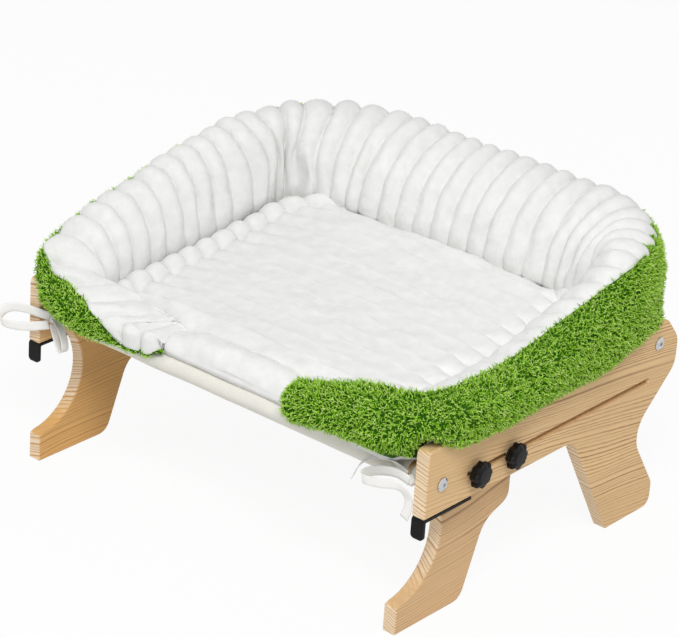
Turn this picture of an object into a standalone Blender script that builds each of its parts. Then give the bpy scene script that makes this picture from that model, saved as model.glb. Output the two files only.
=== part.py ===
"""Cat window perch: wooden frame with sliding front legs, cloth seat and padded cushion.

Metres, +Z up. +X is the perch's right side and +Y runs from the sill hooks to the back.
Every size below is measured from the front lower edge of the beams: y = 0 at their front
ends, z = 0 at the floor, x = 0 in the middle. The root empty then moves the whole perch so
that the origin lies on the floor under the middle of it.
"""

import math

import bmesh
import bpy
from mathutils import Vector

MM = 0.001

# Frame: overall sizes
WIDTH = 525 * MM              # over the outer faces of the two side panels
BOARD = 15 * MM               # thickness of the panels and of the front legs
EASE = 1.0 * MM               # eased edges of the boards
GAP = 0.3 * MM                # clearance between pieces that touch

# Side panel: a beam with the rear leg in one piece
PANEL_LENGTH = 403 * MM
BEAM_BOTTOM = 126 * MM
BEAM_TOP = 197 * MM
FRONT_CORNER = 6 * MM
RISE_START = PANEL_LENGTH - 103 * MM    # the beam's top edge climbs from here to the rear
REAR_TOP = 213 * MM
REAR_TOP_Y = PANEL_LENGTH - 22 * MM
SHOULDER_HIGH = 187 * MM      # the panel's rear end is widest between these two heights
SHOULDER_LOW = 156 * MM
WAIST_Y = PANEL_LENGTH - 65 * MM        # back of the rear leg's waist
WAIST_Z = 97 * MM
REAR_LEG_ROOT = PANEL_LENGTH - 169 * MM # where the rear leg's front edge meets the beam
REAR_TOE = PANEL_LENGTH - 96 * MM
REAR_HEEL = PANEL_LENGTH - 19 * MM
REAR_HEEL_HIGH = 27 * MM
SLOT_END = 48 * MM            # from the slot's rear end to the panel's

# Front leg, measured from the axis of its front stud; z from the floor
STUD_Y = 72 * MM              # front stud's axis at rest
STUD_PITCH = 55 * MM
SLOT_Z = 152 * MM
TOE_REACH = 83.5 * MM
TOE_HIGH = 29 * MM
ARC_REACH = 85 * MM           # centre of the leg's hollow front edge
ARC_Z = 92.5 * MM
ARC_RADIUS = 61.5 * MM
ARC_END = 46                  # degrees above level
HEAD_ABOVE_SLOT = 20 * MM
HEAD_FRONT = 10 * MM          # front end of the head's top edge
HEAD_REAR = 27 * MM           # wood behind the rear stud
HEAD_BOTTOM = 88 * MM
CALF_Y = 45 * MM              # back of the leg below its head
CALF_Z = 75 * MM
HEEL_Y = 16 * MM
TRAVEL_FORWARD = 8 * MM
TRAVEL_REAR = PANEL_LENGTH - SLOT_END - STUD_Y - STUD_PITCH

# Studs, knobs, inserts
STUD_R = 3 * MM
STUD_CLEAR = 0.3 * MM         # round the stud in the slot, the washer and the inserts
INSERT_WALL = 1.4 * MM
INSERT_SHY = 0.5 * MM         # the leg's insert stops short of both faces
WASHER_R = 8 * MM
WASHER_THICK = 1.2 * MM
KNOB_R = 14 * MM
KNOB_LOBES = 8
KNOB_LOBE_DEPTH = 2.6 * MM
KNOB_COLLAR_R = 8 * MM
KNOB_COLLAR = 2 * MM
KNOB_THICK = 11 * MM
KNOB_DOME = 2.2 * MM
STUD_IN_KNOB = 8 * MM

# Crossbars and their bolts
BAR_R = 10 * MM
FRONT_BAR_Y = 23 * MM
FRONT_BAR_Z = 156.5 * MM
REAR_BAR_Y = PANEL_LENGTH - 35 * MM
REAR_BAR_Z = 190 * MM
BAR_INSERT = 22 * MM
BAR_BORE = 34 * MM
BOLT_LENGTH = 45 * MM
BOLT_HEAD_R = 7 * MM
BOLT_HEAD = 2.4 * MM
SOCKET_FLAT = 4 * MM          # across the flats of the hexagon socket
SOCKET_DEPTH = 1.6 * MM

# Sill hooks and their screws
HOOK_THICK = 3 * MM
HOOK_LENGTH = 71 * MM
HOOK_DROP = 22.3 * MM         # flange below the beam's lower edge
HOOK_BEND = 4 * MM
HOOK_CORNER = 4 * MM
SCREW_Y = (28 * MM, 56 * MM)
SCREW_R = 1.6 * MM
SCREW_HEAD_R = 3.4 * MM
SCREW_HEAD = 2.0 * MM
SCREW_LENGTH = 20 * MM
SCREW_TIP = 3 * MM

# Hammock cloth
CLOTH = 1.0 * MM
CLOTH_SAG = 6 * MM
CLOTH_SIDE_GAP = 4.5 * MM     # between the cloth's edge and the sliding leg
SLEEVE_SEAM = 22 * MM         # from the bar's axis to the sleeve's seam

# Bolster: a C in plan, open at the front; sizes across it are from its middle line
BOLSTER_X = 238 * MM
BOLSTER_FRONT = 12 * MM
BOLSTER_BACK = REAR_BAR_Y + 26 * MM
FRONT_BEND = 40 * MM
BACK_BEND = 110 * MM
ENTRANCE = 176 * MM           # between the two front ends
TIP_ROUND = 16 * MM
INNER_FRONT, INNER_SIDE, INNER_BACK = 34 * MM, 36 * MM, 56 * MM
OUTER_FRONT, OUTER_SIDE, OUTER_BACK = 38 * MM, 33 * MM, 43 * MM
LEAN_FRONT, LEAN_SIDE, LEAN_BACK = 2 * MM, 10 * MM, 30 * MM
CREST_TIP, CREST_CORNER, CREST_BACK = 206 * MM, 250 * MM, 303 * MM
DIP = 13 * MM                 # the right side's crest sinks in a little between these places
DIP_FROM, DIP_TO = 90 * MM, 310 * MM
SEAM_ANGLE = 66               # degrees from level, where the two plush cloths are sewn
LEFT_TIP_SEAM = -15           # the seam rolls down to this angle at the left front end
UNDER_ANGLE = -112
SEAM_GAP = 1.6                # degrees between the two cloths
RIB_PITCH = 24.5 * MM
RIB_DEPTH = 4 * MM
SOFT_GAP = 1.2 * MM           # below and between the soft solids
HANG = 10 * MM                # the back hangs this far below the rear sleeve's top
HANG_FROM, HANG_TO = REAR_BAR_Y + 17 * MM, REAR_BAR_Y + 37 * MM

# Seat pad
PAD_THICK = 23 * MM
PAD_CROWN = 4 * MM
PAD_EDGE = 0.62               # share of the thickness left at the pad's sides and back
PAD_FRONT_OVER_BAR = -7 * MM
PAD_ROUND = 14 * MM
PAD_CHANNEL_DEPTH = 4 * MM

# Tape ties
TAPE_WIDTH = 10 * MM
TAPE_THICK = 0.9 * MM
TAPE_CARRY = 1.0              # how much a tape keeps the way it lay just before
TIE_CLEAR = 4.5 * MM          # between the tie and the panel's inner face
KNOT = (11 * MM, 8 * MM, 11 * MM)

HALF = WIDTH / 2
INNER_FACE = HALF - BOARD
LEG_INNER = INNER_FACE - GAP - BOARD
STUD_BORE = STUD_R + STUD_CLEAR
LEG_HEAD_TOP = SLOT_Z + HEAD_ABOVE_SLOT
TIE_X = INNER_FACE - TIE_CLEAR - TAPE_WIDTH / 2
PAD_STEP = BOLSTER_FRONT + INNER_FRONT + SOFT_GAP     # behind the bolster's front ends


def clear_scene():
    for thing in list(bpy.data.objects):
        bpy.data.objects.remove(thing, do_unlink=True)


def material(name, colour, roughness, metallic=0.0):
    paint = bpy.data.materials.new(name)
    paint.use_nodes = True
    shader = paint.node_tree.nodes["Principled BSDF"]
    shader.inputs["Base Color"].default_value = (*colour, 1.0)
    shader.inputs["Roughness"].default_value = roughness
    shader.inputs["Metallic"].default_value = metallic
    paint.diffuse_color = (*colour, 1.0)
    return paint


def empty(name, place, parent=None):
    marker = bpy.data.objects.new(name, None)
    marker.empty_display_size = 0.02
    bpy.context.collection.objects.link(marker)
    marker.parent = parent
    marker.location = place
    return marker


def solid(name, bm, paint, place, parent, smooth=30, turn=0.0):
    """Make one named object from a bmesh whose coordinates are local to its place."""
    bmesh.ops.recalc_face_normals(bm, faces=bm.faces)
    mesh = bpy.data.meshes.new(name)
    bm.to_mesh(mesh)
    bm.free()
    mesh.materials.append(paint)
    if smooth:
        mesh.shade_smooth()
        mesh.set_sharp_from_angle(angle=math.radians(smooth))
    piece = bpy.data.objects.new(name, mesh)
    bpy.context.collection.objects.link(piece)
    piece.parent = parent
    piece.location = place
    piece.rotation_euler = (0, 0, turn)
    return piece


def facing(side):
    """Turn about Z that makes a right-hand piece point out of the left side."""
    return 0.0 if side > 0 else math.pi


def ring_of(bm, points):
    return [bm.verts.new(p) for p in points]


def bridge(bm, first, second):
    """Join two closed loops of vertices; a loop of one vertex is a pole."""
    count = max(len(first), len(second))
    for i in range(count):
        j = (i + 1) % count
        corners = []
        for loop, order in ((first, (i, j)), (second, (j, i))):
            for k in order:
                vert = loop[k % len(loop)]
                if vert not in corners:
                    corners.append(vert)
        bm.faces.new(corners)


def skin(bm, loops, closed=False):
    """Walls through a row of loops; the ends are capped unless the row closes on itself."""
    for first, second in zip(loops, loops[1:]):
        bridge(bm, first, second)
    if closed:
        bridge(bm, loops[-1], loops[0])
        return
    for loop in (loops[0], loops[-1]):
        if len(loop) > 2:
            bm.faces.new(loop)


def arc(centre, radius, start, end, step=9):
    """Points of an arc; angles in degrees from the first axis towards the second."""
    count = max(2, round(abs(end - start) / step))
    angles = [math.radians(start + (end - start) * i / count) for i in range(count + 1)]
    return [(centre[0] + radius * math.cos(a), centre[1] + radius * math.sin(a)) for a in angles]


def rounded(corners, step=12):
    """An outline through corners (a, b, radius), each rounded by an arc of that radius."""
    outline = []
    for i, (a, b, radius) in enumerate(corners):
        here = Vector((a, b))
        if radius <= 0:
            outline.append((a, b))
            continue
        back = (Vector(corners[i - 1][:2]) - here).normalized()
        ahead = (Vector(corners[(i + 1) % len(corners)][:2]) - here).normalized()
        half = back.angle(ahead) / 2
        middle = here + (back + ahead).normalized() * (radius / math.sin(half))
        first = here + back * (radius / math.tan(half)) - middle
        last = here + ahead * (radius / math.tan(half)) - middle
        turn = first.angle_signed(last)
        count = max(2, round(math.degrees(abs(turn)) / step))
        for k in range(count + 1):
            spoke = first.copy()
            angle = math.atan2(spoke.y, spoke.x) - turn * k / count
            outline.append((middle.x + radius * math.cos(angle), middle.y + radius * math.sin(angle)))
    return outline


def drawn_in(outline, amount):
    """The outline moved inwards by an amount; the outline runs anticlockwise."""
    moved = []
    for i, here in enumerate(outline):
        before, after = Vector(outline[i - 1]), Vector(outline[(i + 1) % len(outline)])
        one = (Vector(here) - before).normalized()
        two = (after - Vector(here)).normalized()
        inward_one, inward_two = Vector((-one.y, one.x)), Vector((-two.y, two.x))
        bisector = (inward_one + inward_two).normalized()
        reach = amount / max(0.3, bisector.dot(inward_one))
        moved.append((here[0] + bisector.x * reach, here[1] + bisector.y * reach))
    return moved


def board(outline, holes, thick, ease):
    """A board in the YZ plane, from x = -thick / 2 to +thick / 2, with eased outer edges."""
    bm = bmesh.new()
    half = thick / 2
    inset = drawn_in(outline, ease) if ease else outline
    rows = [(-half, inset), (ease - half, outline), (half - ease, outline), (half, inset)]
    if not ease:
        rows = [(-half, outline), (half, outline)]
    loops = [ring_of(bm, [(x, a, b) for a, b in points]) for x, points in rows]
    for first, second in zip(loops, loops[1:]):
        bridge(bm, first, second)
    ends = [[loops[0]], [loops[-1]]]
    for hole in holes:
        near = ring_of(bm, [(-half, a, b) for a, b in hole])
        far = ring_of(bm, [(half, a, b) for a, b in hole])
        bridge(bm, near, far)
        ends[0].append(near)
        ends[1].append(far)
    for rings in ends:
        edges = []
        for ring in rings:
            for i, vert in enumerate(ring):
                edges.append(bm.edges.get((vert, ring[(i + 1) % len(ring)])))
        bmesh.ops.triangle_fill(bm, use_beauty=True, edges=edges)
    return bm


def round_hole(y, z, radius, count=20):
    return arc((y, z), radius, 0, 360 - 360 / count, 360 / count)


def turned(profile, count, closed=False, shape=None, axis="X", y=0.0, bm=None):
    """A turned solid from rows (place on the axis, radius); shape changes the radius by angle."""
    bm = bm or bmesh.new()
    loops = []
    for along, radius in profile:
        points = []
        for i in range(count if radius > 0 else 1):
            angle = 2 * math.pi * i / count
            reach = radius if shape is None else shape(angle, radius)
            a, b = reach * math.cos(angle), reach * math.sin(angle)
            points.append((along, y + a, b) if axis == "X" else (a, y + b, along))
        loops.append(ring_of(bm, points))
    skin(bm, loops, closed)
    return bm


def mix(a, b, share):
    return a + (b - a) * share


def ease_in_out(share):
    share = min(1.0, max(0.0, share))
    return share * share * (3 - 2 * share)


# Heights that the soft pieces rest on

def panel_top(y):
    """Top edge of a side panel at y."""
    climb = (REAR_TOP - BEAM_TOP) * (y - RISE_START) / (REAR_TOP_Y - RISE_START)
    return BEAM_TOP + max(0.0, min(climb, REAR_TOP - BEAM_TOP))


def sleeve_r():
    return BAR_R + GAP + CLOTH


def cloth_top(y):
    """Upper side of the hammock cloth at y."""
    front = FRONT_BAR_Z + sleeve_r()
    rear = REAR_BAR_Z + sleeve_r()
    share = min(1.0, max(0.0, (y - FRONT_BAR_Y) / (REAR_BAR_Y - FRONT_BAR_Y)))
    return mix(front, rear, share) - CLOTH_SAG * math.sin(math.pi * share)


def carrier(x, y):
    """Height of what carries the cushion at x, y: the cloth, the sliding legs or the panel."""
    inside = cloth_top(y)
    over_leg = ease_in_out((abs(x) - (LEG_INNER - CLOTH_SIDE_GAP - 14 * MM)) / (10 * MM))
    inside = mix(inside, max(inside, LEG_HEAD_TOP), over_leg)
    over_panel = ease_in_out((abs(x) - (INNER_FACE - 20 * MM)) / (12 * MM))
    height = mix(inside, max(inside, panel_top(y)), over_panel)
    behind = ease_in_out((y - HANG_FROM) / (HANG_TO - HANG_FROM))
    return mix(height, REAR_BAR_Z + sleeve_r() - HANG, behind)


# Frame

def panel_outline():
    return rounded((
        (0, BEAM_BOTTOM, EASE * 1.5),
        (REAR_LEG_ROOT, BEAM_BOTTOM, 22 * MM),
        (REAR_TOE, 0, 5 * MM),
        (REAR_HEEL, 0, 12 * MM),
        (REAR_HEEL, REAR_HEEL_HIGH, 10 * MM),
        (WAIST_Y, WAIST_Z, 32 * MM),
        (PANEL_LENGTH, SHOULDER_LOW, 22 * MM),
        (PANEL_LENGTH, SHOULDER_HIGH, 18 * MM),
        (REAR_TOP_Y, REAR_TOP, 8 * MM),
        (RISE_START, BEAM_TOP, 80 * MM),
        (0, BEAM_TOP, FRONT_CORNER),
    ))


def slot_outline():
    front = STUD_Y - TRAVEL_FORWARD
    rear = STUD_Y + STUD_PITCH + TRAVEL_REAR
    return arc((rear, SLOT_Z), STUD_BORE, -90, 90, 30) + arc((front, SLOT_Z), STUD_BORE, 90, 270, 30)


def leg_outline():
    hollow = arc((-ARC_REACH, ARC_Z), ARC_RADIUS, ARC_END, -84, 8)
    corners = [(-TOE_REACH, TOE_HIGH, EASE * 1.5), (-TOE_REACH, 0, EASE * 1.5),
               (HEEL_Y, 0, 16 * MM), (CALF_Y, CALF_Z, 30 * MM),
               (STUD_PITCH + HEAD_REAR, HEAD_BOTTOM, 13 * MM),
               (STUD_PITCH + HEAD_REAR, LEG_HEAD_TOP, 8 * MM),
               (-HEAD_FRONT, LEG_HEAD_TOP, 8 * MM)]
    return rounded([(a, b, 0) for a, b in hollow] + corners)


def side_panel(name, side, paint, root):
    bolts = [round_hole(y, z, STUD_BORE) for y, z in ((FRONT_BAR_Y, FRONT_BAR_Z), (REAR_BAR_Y, REAR_BAR_Z))]
    bm = board(panel_outline(), [slot_outline()] + bolts, BOARD, EASE)
    panel = solid(name, bm, paint, (side * (HALF - BOARD / 2), 0, 0), root)
    drill = bmesh.new()
    for y in SCREW_Y:
        depth = SCREW_LENGTH - HOOK_THICK + GAP
        rows = [(BEAM_BOTTOM - HOOK_THICK, SCREW_R + GAP), (BEAM_BOTTOM + depth, SCREW_R + GAP)]
        turned(rows, 12, axis="Z", y=y, bm=drill)
    combine(panel, drill, name + "_drill")


def combine(piece, bm, name, operation="DIFFERENCE"):
    """Take a tool shape, given in the piece's own coordinates, away from it, or add it."""
    tool = solid(name, bm, piece.data.materials[0], piece.location, piece.parent, smooth=0)
    tool.display_type = "WIRE"
    tool.hide_render = True
    change = piece.modifiers.new(name, "BOOLEAN")
    change.operation = operation
    change.solver = "EXACT"
    change.object = tool


def insert_r():
    return STUD_BORE + INSERT_WALL


def front_leg(name, side, paint, leg_axis):
    bores = [round_hole(y, SLOT_Z, insert_r() + GAP) for y in (0, STUD_PITCH)]
    bm = board(leg_outline(), bores, BOARD, EASE)
    solid(name, bm, paint, (side * (LEG_INNER + BOARD / 2), 0, -SLOT_Z), leg_axis)


def leg_insert(name, side, y, paint, leg_axis):
    half = BOARD / 2 - INSERT_SHY
    rows = [(-half, insert_r()), (half, insert_r()), (half, STUD_BORE), (-half, STUD_BORE)]
    place = (side * (LEG_INNER + BOARD / 2), y, 0)
    solid(name, turned(rows, 16, closed=True), paint, place, leg_axis)


def knob_washer(name, side, y, paint, leg_axis):
    rows = [(0, WASHER_R), (WASHER_THICK, WASHER_R), (WASHER_THICK, STUD_BORE), (0, STUD_BORE)]
    place = (side * (HALF + GAP), y, 0)
    solid(name, turned(rows, 20, closed=True), paint, place, leg_axis, turn=facing(side))


def lobed(angle, radius):
    if radius <= KNOB_COLLAR_R:
        return radius
    return radius - KNOB_LOBE_DEPTH * (0.5 - 0.5 * math.cos(KNOB_LOBES * angle))


def clamp_knob(name, side, paint, axis):
    """Star knob with a blind bore for its stud; x = 0 is the face on the washer."""
    top = KNOB_COLLAR + KNOB_THICK
    rows = [(STUD_IN_KNOB + GAP, 0), (STUD_IN_KNOB + GAP, STUD_BORE), (0, STUD_BORE),
            (0, KNOB_COLLAR_R), (KNOB_COLLAR, KNOB_COLLAR_R), (KNOB_COLLAR, KNOB_R - 1.5 * MM),
            (KNOB_COLLAR + 1.5 * MM, KNOB_R), (top - KNOB_DOME - 1.5 * MM, KNOB_R),
            (top - KNOB_DOME, KNOB_R - 1.5 * MM), (top - 0.3 * MM, KNOB_COLLAR_R), (top, 0)]
    place = (side * (HALF + WASHER_THICK + 2 * GAP), 0, 0)
    solid(name, turned(rows, KNOB_LOBES * 4, shape=lobed), paint, place, axis, turn=facing(side))


def clamp_stud(name, side, paint, axis):
    """Threaded stud from the leg's inner face, through the slot, into the knob."""
    base = HALF + WASHER_THICK + 2 * GAP
    start = LEG_INNER + INSERT_SHY - base
    chamfer = 0.6 * MM
    rows = [(start, 0), (start, STUD_R - chamfer), (start + chamfer, STUD_R),
            (STUD_IN_KNOB, STUD_R), (STUD_IN_KNOB, 0)]
    solid(name, turned(rows, 14), paint, (side * base, 0, 0), axis, turn=facing(side))


def crossbar(name, y, z, paint, root):
    """Round wooden bar with a blind bore at each end for its threaded insert."""
    end = INNER_FACE - GAP
    bore = BAR_R / 2 + GAP
    half = [(end - BAR_BORE, 0), (end - BAR_BORE, bore), (end, bore), (end, BAR_R - EASE), (end - EASE, BAR_R)]
    rows = half + [(-x, r) for x, r in reversed(half)]
    solid(name, turned(rows, 20), paint, (0, y, z), root)


def bar_insert(name, side, y, z, paint, root):
    near = side * (INNER_FACE - 2 * GAP)
    far = side * (INNER_FACE - BAR_INSERT)
    rows = [(far, BAR_R / 2), (near, BAR_R / 2), (near, STUD_BORE), (far, STUD_BORE)]
    solid(name, turned(rows, 16, closed=True), paint, (0, y, z), root)


def socket_shape(angle, radius):
    """A hexagon inside the socket's radius, round elsewhere."""
    if radius > SOCKET_FLAT * 0.6:
        return radius
    sector = math.pi / 3
    return radius / math.cos((angle + sector / 2) % sector - sector / 2)


def crossbar_bolt(name, side, y, z, paint, root):
    flat = SOCKET_FLAT / 2
    rows = [(BOLT_HEAD - SOCKET_DEPTH, 0), (BOLT_HEAD - SOCKET_DEPTH, flat), (BOLT_HEAD, flat),
            (BOLT_HEAD, BOLT_HEAD_R - 2 * MM), (BOLT_HEAD * 0.4, BOLT_HEAD_R), (0, BOLT_HEAD_R),
            (0, STUD_R), (-BOLT_LENGTH, STUD_R), (-BOLT_LENGTH, 0)]
    place = (side * (HALF + GAP), y, z)
    solid(name, turned(rows, 24, shape=socket_shape), paint, place, root, turn=facing(side))


def sill_hook(name, side, paint, root):
    """Bent steel strip: a plate under the beam and a flange down over the sill's far edge."""
    top = BEAM_BOTTOM - GAP
    bottom = BEAM_BOTTOM - HOOK_DROP
    rows = [((HOOK_LENGTH, top), (0, 1), BOARD / 2)]
    for angle in range(0, 91, 18):
        spoke = (-math.sin(math.radians(angle)), math.cos(math.radians(angle)))
        place = (HOOK_BEND + HOOK_BEND * spoke[0], top - HOOK_BEND + HOOK_BEND * spoke[1])
        rows.append((place, spoke, BOARD / 2))
    for angle in range(0, 91, 18):
        drop = HOOK_CORNER * (1 - math.sin(math.radians(angle)))
        width = BOARD / 2 - HOOK_CORNER * (1 - math.cos(math.radians(angle)))
        rows.append(((0, bottom + drop), (-1, 0), width))
    bm = bmesh.new()
    loops = []
    for (y, z), (ny, nz), half in rows:
        inner_y, inner_z = y - ny * HOOK_THICK, z - nz * HOOK_THICK
        loops.append(ring_of(bm, [(-half, y, z), (half, y, z), (half, inner_y, inner_z), (-half, inner_y, inner_z)]))
    skin(bm, loops)
    hook = solid(name, bm, paint, (side * (HALF - BOARD / 2), 0, 0), root)
    drill = bmesh.new()
    low = top - HOOK_THICK
    for y in SCREW_Y:
        profile = [(low - 1 * MM, SCREW_HEAD_R + GAP), (low, SCREW_HEAD_R + GAP),
                   (low + SCREW_HEAD, SCREW_R + GAP), (top + 1 * MM, SCREW_R + GAP)]
        turned(profile, 16, axis="Z", y=y, bm=drill)
    combine(hook, drill, name + "_drill")


def hook_screw(name, side, y, paint, root):
    low = BEAM_BOTTOM - GAP - HOOK_THICK
    rows = [(0, 0), (0, SCREW_HEAD_R), (SCREW_HEAD, SCREW_R),
            (SCREW_LENGTH - SCREW_TIP, SCREW_R), (SCREW_LENGTH, 0)]
    solid(name, turned(rows, 16, axis="Z"), paint, (side * (HALF - BOARD / 2), y, low), root)


# Soft goods

def hammock_cloth(name, paint, root):
    """One cloth with a sewn sleeve round each bar; its section runs along the bars."""
    outer, inner = sleeve_r(), BAR_R + GAP
    span = REAR_BAR_Y - FRONT_BAR_Y
    steps = 12
    top = [(FRONT_BAR_Y + span * i / steps, cloth_top(FRONT_BAR_Y + span * i / steps)) for i in range(steps + 1)]
    front_seam = FRONT_BAR_Y + SLEEVE_SEAM
    rear_seam = REAR_BAR_Y - SLEEVE_SEAM
    under = [front_seam + (rear_seam - front_seam) * i / steps for i in range(steps + 1)]
    outline = list(reversed(top))
    outline += arc((FRONT_BAR_Y, FRONT_BAR_Z), outer, 108, 300, 16)
    outline += [(y, cloth_top(y) - CLOTH) for y in under]
    outline += arc((REAR_BAR_Y, REAR_BAR_Z), outer, 240, 432, 16)
    bars = [round_hole(y, z, inner) for y, z in ((FRONT_BAR_Y, FRONT_BAR_Z), (REAR_BAR_Y, REAR_BAR_Z))]
    width = 2 * (LEG_INNER - CLOTH_SIDE_GAP)
    solid(name, board(outline, bars, width, 0), paint, (0, 0, 0), root)


def half_path():
    """Stretches of the bolster's middle line, from its right front end to the back's middle."""
    return (
        ("front", BOLSTER_X - FRONT_BEND - ENTRANCE / 2),
        ("front_bend", FRONT_BEND * math.pi / 2),
        ("side", BOLSTER_BACK - BOLSTER_FRONT - FRONT_BEND - BACK_BEND),
        ("back_bend", BACK_BEND * math.pi / 2),
        ("back", BOLSTER_X - BACK_BEND),
    )


def path_place(t):
    """Middle line at the distance t from a front end, as on the right side.

    Gives the point, the outward direction and how far the section has changed from its
    front to its side form and from its side to its back form.
    """
    left = t
    for part, length in half_path():
        if left <= length or part == "back":
            break
        left -= length
    share = left / length
    if part == "front":
        return (ENTRANCE / 2 + left, BOLSTER_FRONT), (0, -1), 0, 0
    if part == "side":
        return (BOLSTER_X, BOLSTER_FRONT + FRONT_BEND + left), (1, 0), 1, 0
    if part == "back":
        return (BOLSTER_X - BACK_BEND - left, BOLSTER_BACK), (0, 1), 1, 1
    if part == "front_bend":
        bend, y, turn = FRONT_BEND, BOLSTER_FRONT + FRONT_BEND, math.radians(-90 + 90 * share)
        forms = (ease_in_out(share), 0)
    else:
        bend, y, turn = BACK_BEND, BOLSTER_BACK - BACK_BEND, math.radians(90 * share)
        forms = (1, ease_in_out(share))
    out = (math.cos(turn), math.sin(turn))
    return (BOLSTER_X - bend + bend * out[0], y + bend * out[1]), out, *forms


def crest(t, y, left):
    """Height of the bolster's crest: up from the front end to the corner, then to the back."""
    front = half_path()[0][1]
    if t < front:
        return mix(CREST_TIP, CREST_CORNER, math.sin(math.pi / 2 * t / front))
    rise = (y - BOLSTER_FRONT) / (BOLSTER_BACK - 45 * MM - BOLSTER_FRONT)
    height = mix(CREST_CORNER, CREST_BACK, ease_in_out(rise))
    if left or not DIP_FROM < y < DIP_TO:
        return height
    return height - DIP * math.sin(math.pi * (y - DIP_FROM) / (DIP_TO - DIP_FROM)) ** 2


def seam_angle(t, left):
    """Where the white plush meets the green in the section."""
    if not left:
        return SEAM_ANGLE
    corner = half_path()[0][1] + half_path()[1][1]
    return mix(LEFT_TIP_SEAM, SEAM_ANGLE, min(1.0, t / corner) ** 1.5)


def bolster_section(t, left, angles, draw_in):
    """Points of the bolster's skin at the distance t from a front end; angle 0 is outwards."""
    (x, y), (nx, ny), to_side, to_back = path_place(t)
    inner = mix(mix(INNER_FRONT, INNER_SIDE, to_side), INNER_BACK, to_back)
    outer = mix(mix(OUTER_FRONT, OUTER_SIDE, to_side), OUTER_BACK, to_back)
    lean = mix(mix(LEAN_FRONT, LEAN_SIDE, to_side), LEAN_BACK, to_back)
    top = crest(t, y, left)
    shrink = 1.0
    if t < TIP_ROUND:
        shrink = max(0.35, math.sqrt(1 - (1 - t / TIP_ROUND) ** 2))
    points = []
    for degrees in angles:
        a = math.radians(degrees)
        high = ((1 + math.sin(a)) / 2) ** 1.1
        pull = draw_in * math.sin(math.pi / 2 * min(1.0, (high + 0.12) / 0.9))
        reach = (inner if math.cos(a) < 0 else outer) - pull
        u = reach * math.cos(a) * shrink + lean * high
        px, py = x + nx * u, y + ny * u
        base = carrier(px, py) + SOFT_GAP
        z = base + (top - pull * max(0.0, math.sin(a)) - base) * high
        middle = base + (top - base) * 0.45
        points.append(Vector((-px if left else px, py, middle + (z - middle) * shrink)))
    return points


def bolster_length():
    return 2 * sum(length for _, length in half_path())


def bolster(name, outside, count, rib_depth, paint, root):
    """One of the bolster's two plush cloths: the outer side, or the top and inner side."""
    total = bolster_length()
    stations = 2 * round(total / RIB_PITCH)
    bm = bmesh.new()
    loops = []
    for i in range(stations + 1):
        left = i > stations / 2
        t = total * (stations - i if left else i) / stations
        seam = seam_angle(t, left)
        first, last = seam, 360 + UNDER_ANGLE
        if outside:
            first, last = UNDER_ANGLE + SEAM_GAP, seam - SEAM_GAP
        angles = [mix(first, last, k / (count - 1)) for k in range(count)]
        section = bolster_section(t, left, angles, 0 if i % 2 else rib_depth)
        joint = (section[0] + section[-1]) / 2
        heart = sum(section, Vector()) / count
        section.append(joint + (heart - joint).normalized() * SOFT_GAP)
        loops.append(ring_of(bm, section))
    skin(bm, loops)
    solid(name, bm, paint, (0, 0, 0), root, smooth=60 if outside else 0)


def inner_edge(middle, inner, lean):
    """Distance across to the bolster's inner side where it stands out most."""
    return middle - inner + lean * 0.5 ** 1.1 - SOFT_GAP


def pad_half_width(y):
    """Half width of the seat pad at y: it fills the plan inside the bolster."""
    edge = inner_edge(BOLSTER_X, INNER_SIDE, LEAN_SIDE)
    corner = BOLSTER_X - edge - INNER_FRONT + FRONT_BEND / 2
    if y < PAD_STEP:
        return ENTRANCE / 2 - PAD_ROUND / 2
    if y < PAD_STEP + corner:
        return edge - corner + math.sqrt(corner ** 2 - (PAD_STEP + corner - y) ** 2)
    back_edge = inner_edge(BOLSTER_BACK, INNER_BACK, LEAN_BACK)
    bend = BACK_BEND - INNER_BACK + LEAN_BACK / 2
    if y > back_edge - bend:
        share = min(1.0, (y - back_edge + bend) / bend)
        return edge - bend + bend * math.sqrt(max(0.0, 1 - share * share))
    return edge


def seat_pad(name, paint, root):
    """White channelled pad on the cloth; its channels run from side to side."""
    front = FRONT_BAR_Y + PAD_FRONT_OVER_BAR
    back = inner_edge(BOLSTER_BACK, INNER_BACK, LEAN_BACK)
    pitch = (back - front) / round((back - front) / RIB_PITCH)
    places = [front + pitch / 2 * i for i in range(round(2 * (back - front) / pitch) + 1)]
    places = sorted(places + [PAD_STEP - GAP, PAD_STEP + GAP])
    across = (0.0, 0.45, 0.8, 0.94, 1.0)
    shares = [-a for a in reversed(across[1:])] + list(across)
    bm = bmesh.new()
    loops = []
    for y in places:
        half = pad_half_width(y)
        swell = math.sqrt(1 - (1 - min(1.0, (y - front + 1 * MM) / PAD_ROUND)) ** 2)
        swell = min(swell, mix(PAD_EDGE, 1, min(1.0, (back - y) / PAD_ROUND)))
        groove = PAD_CHANNEL_DEPTH * (1 + math.cos(2 * math.pi * (y - front) / pitch)) / 2
        lower = [Vector((half * a, y, cloth_top(y) + GAP)) for a in shares]
        upper = []
        for a in reversed(shares):
            high = (PAD_THICK - groove) * mix(1, PAD_EDGE, abs(a) ** 8) + PAD_CROWN * (1 - a * a)
            upper.append(Vector((half * a, y, cloth_top(y) + GAP + high * swell)))
        loops.append(ring_of(bm, lower + upper))
    skin(bm, loops)
    solid(name, bm, paint, (0, 0, 0), root, smooth=0)


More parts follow.
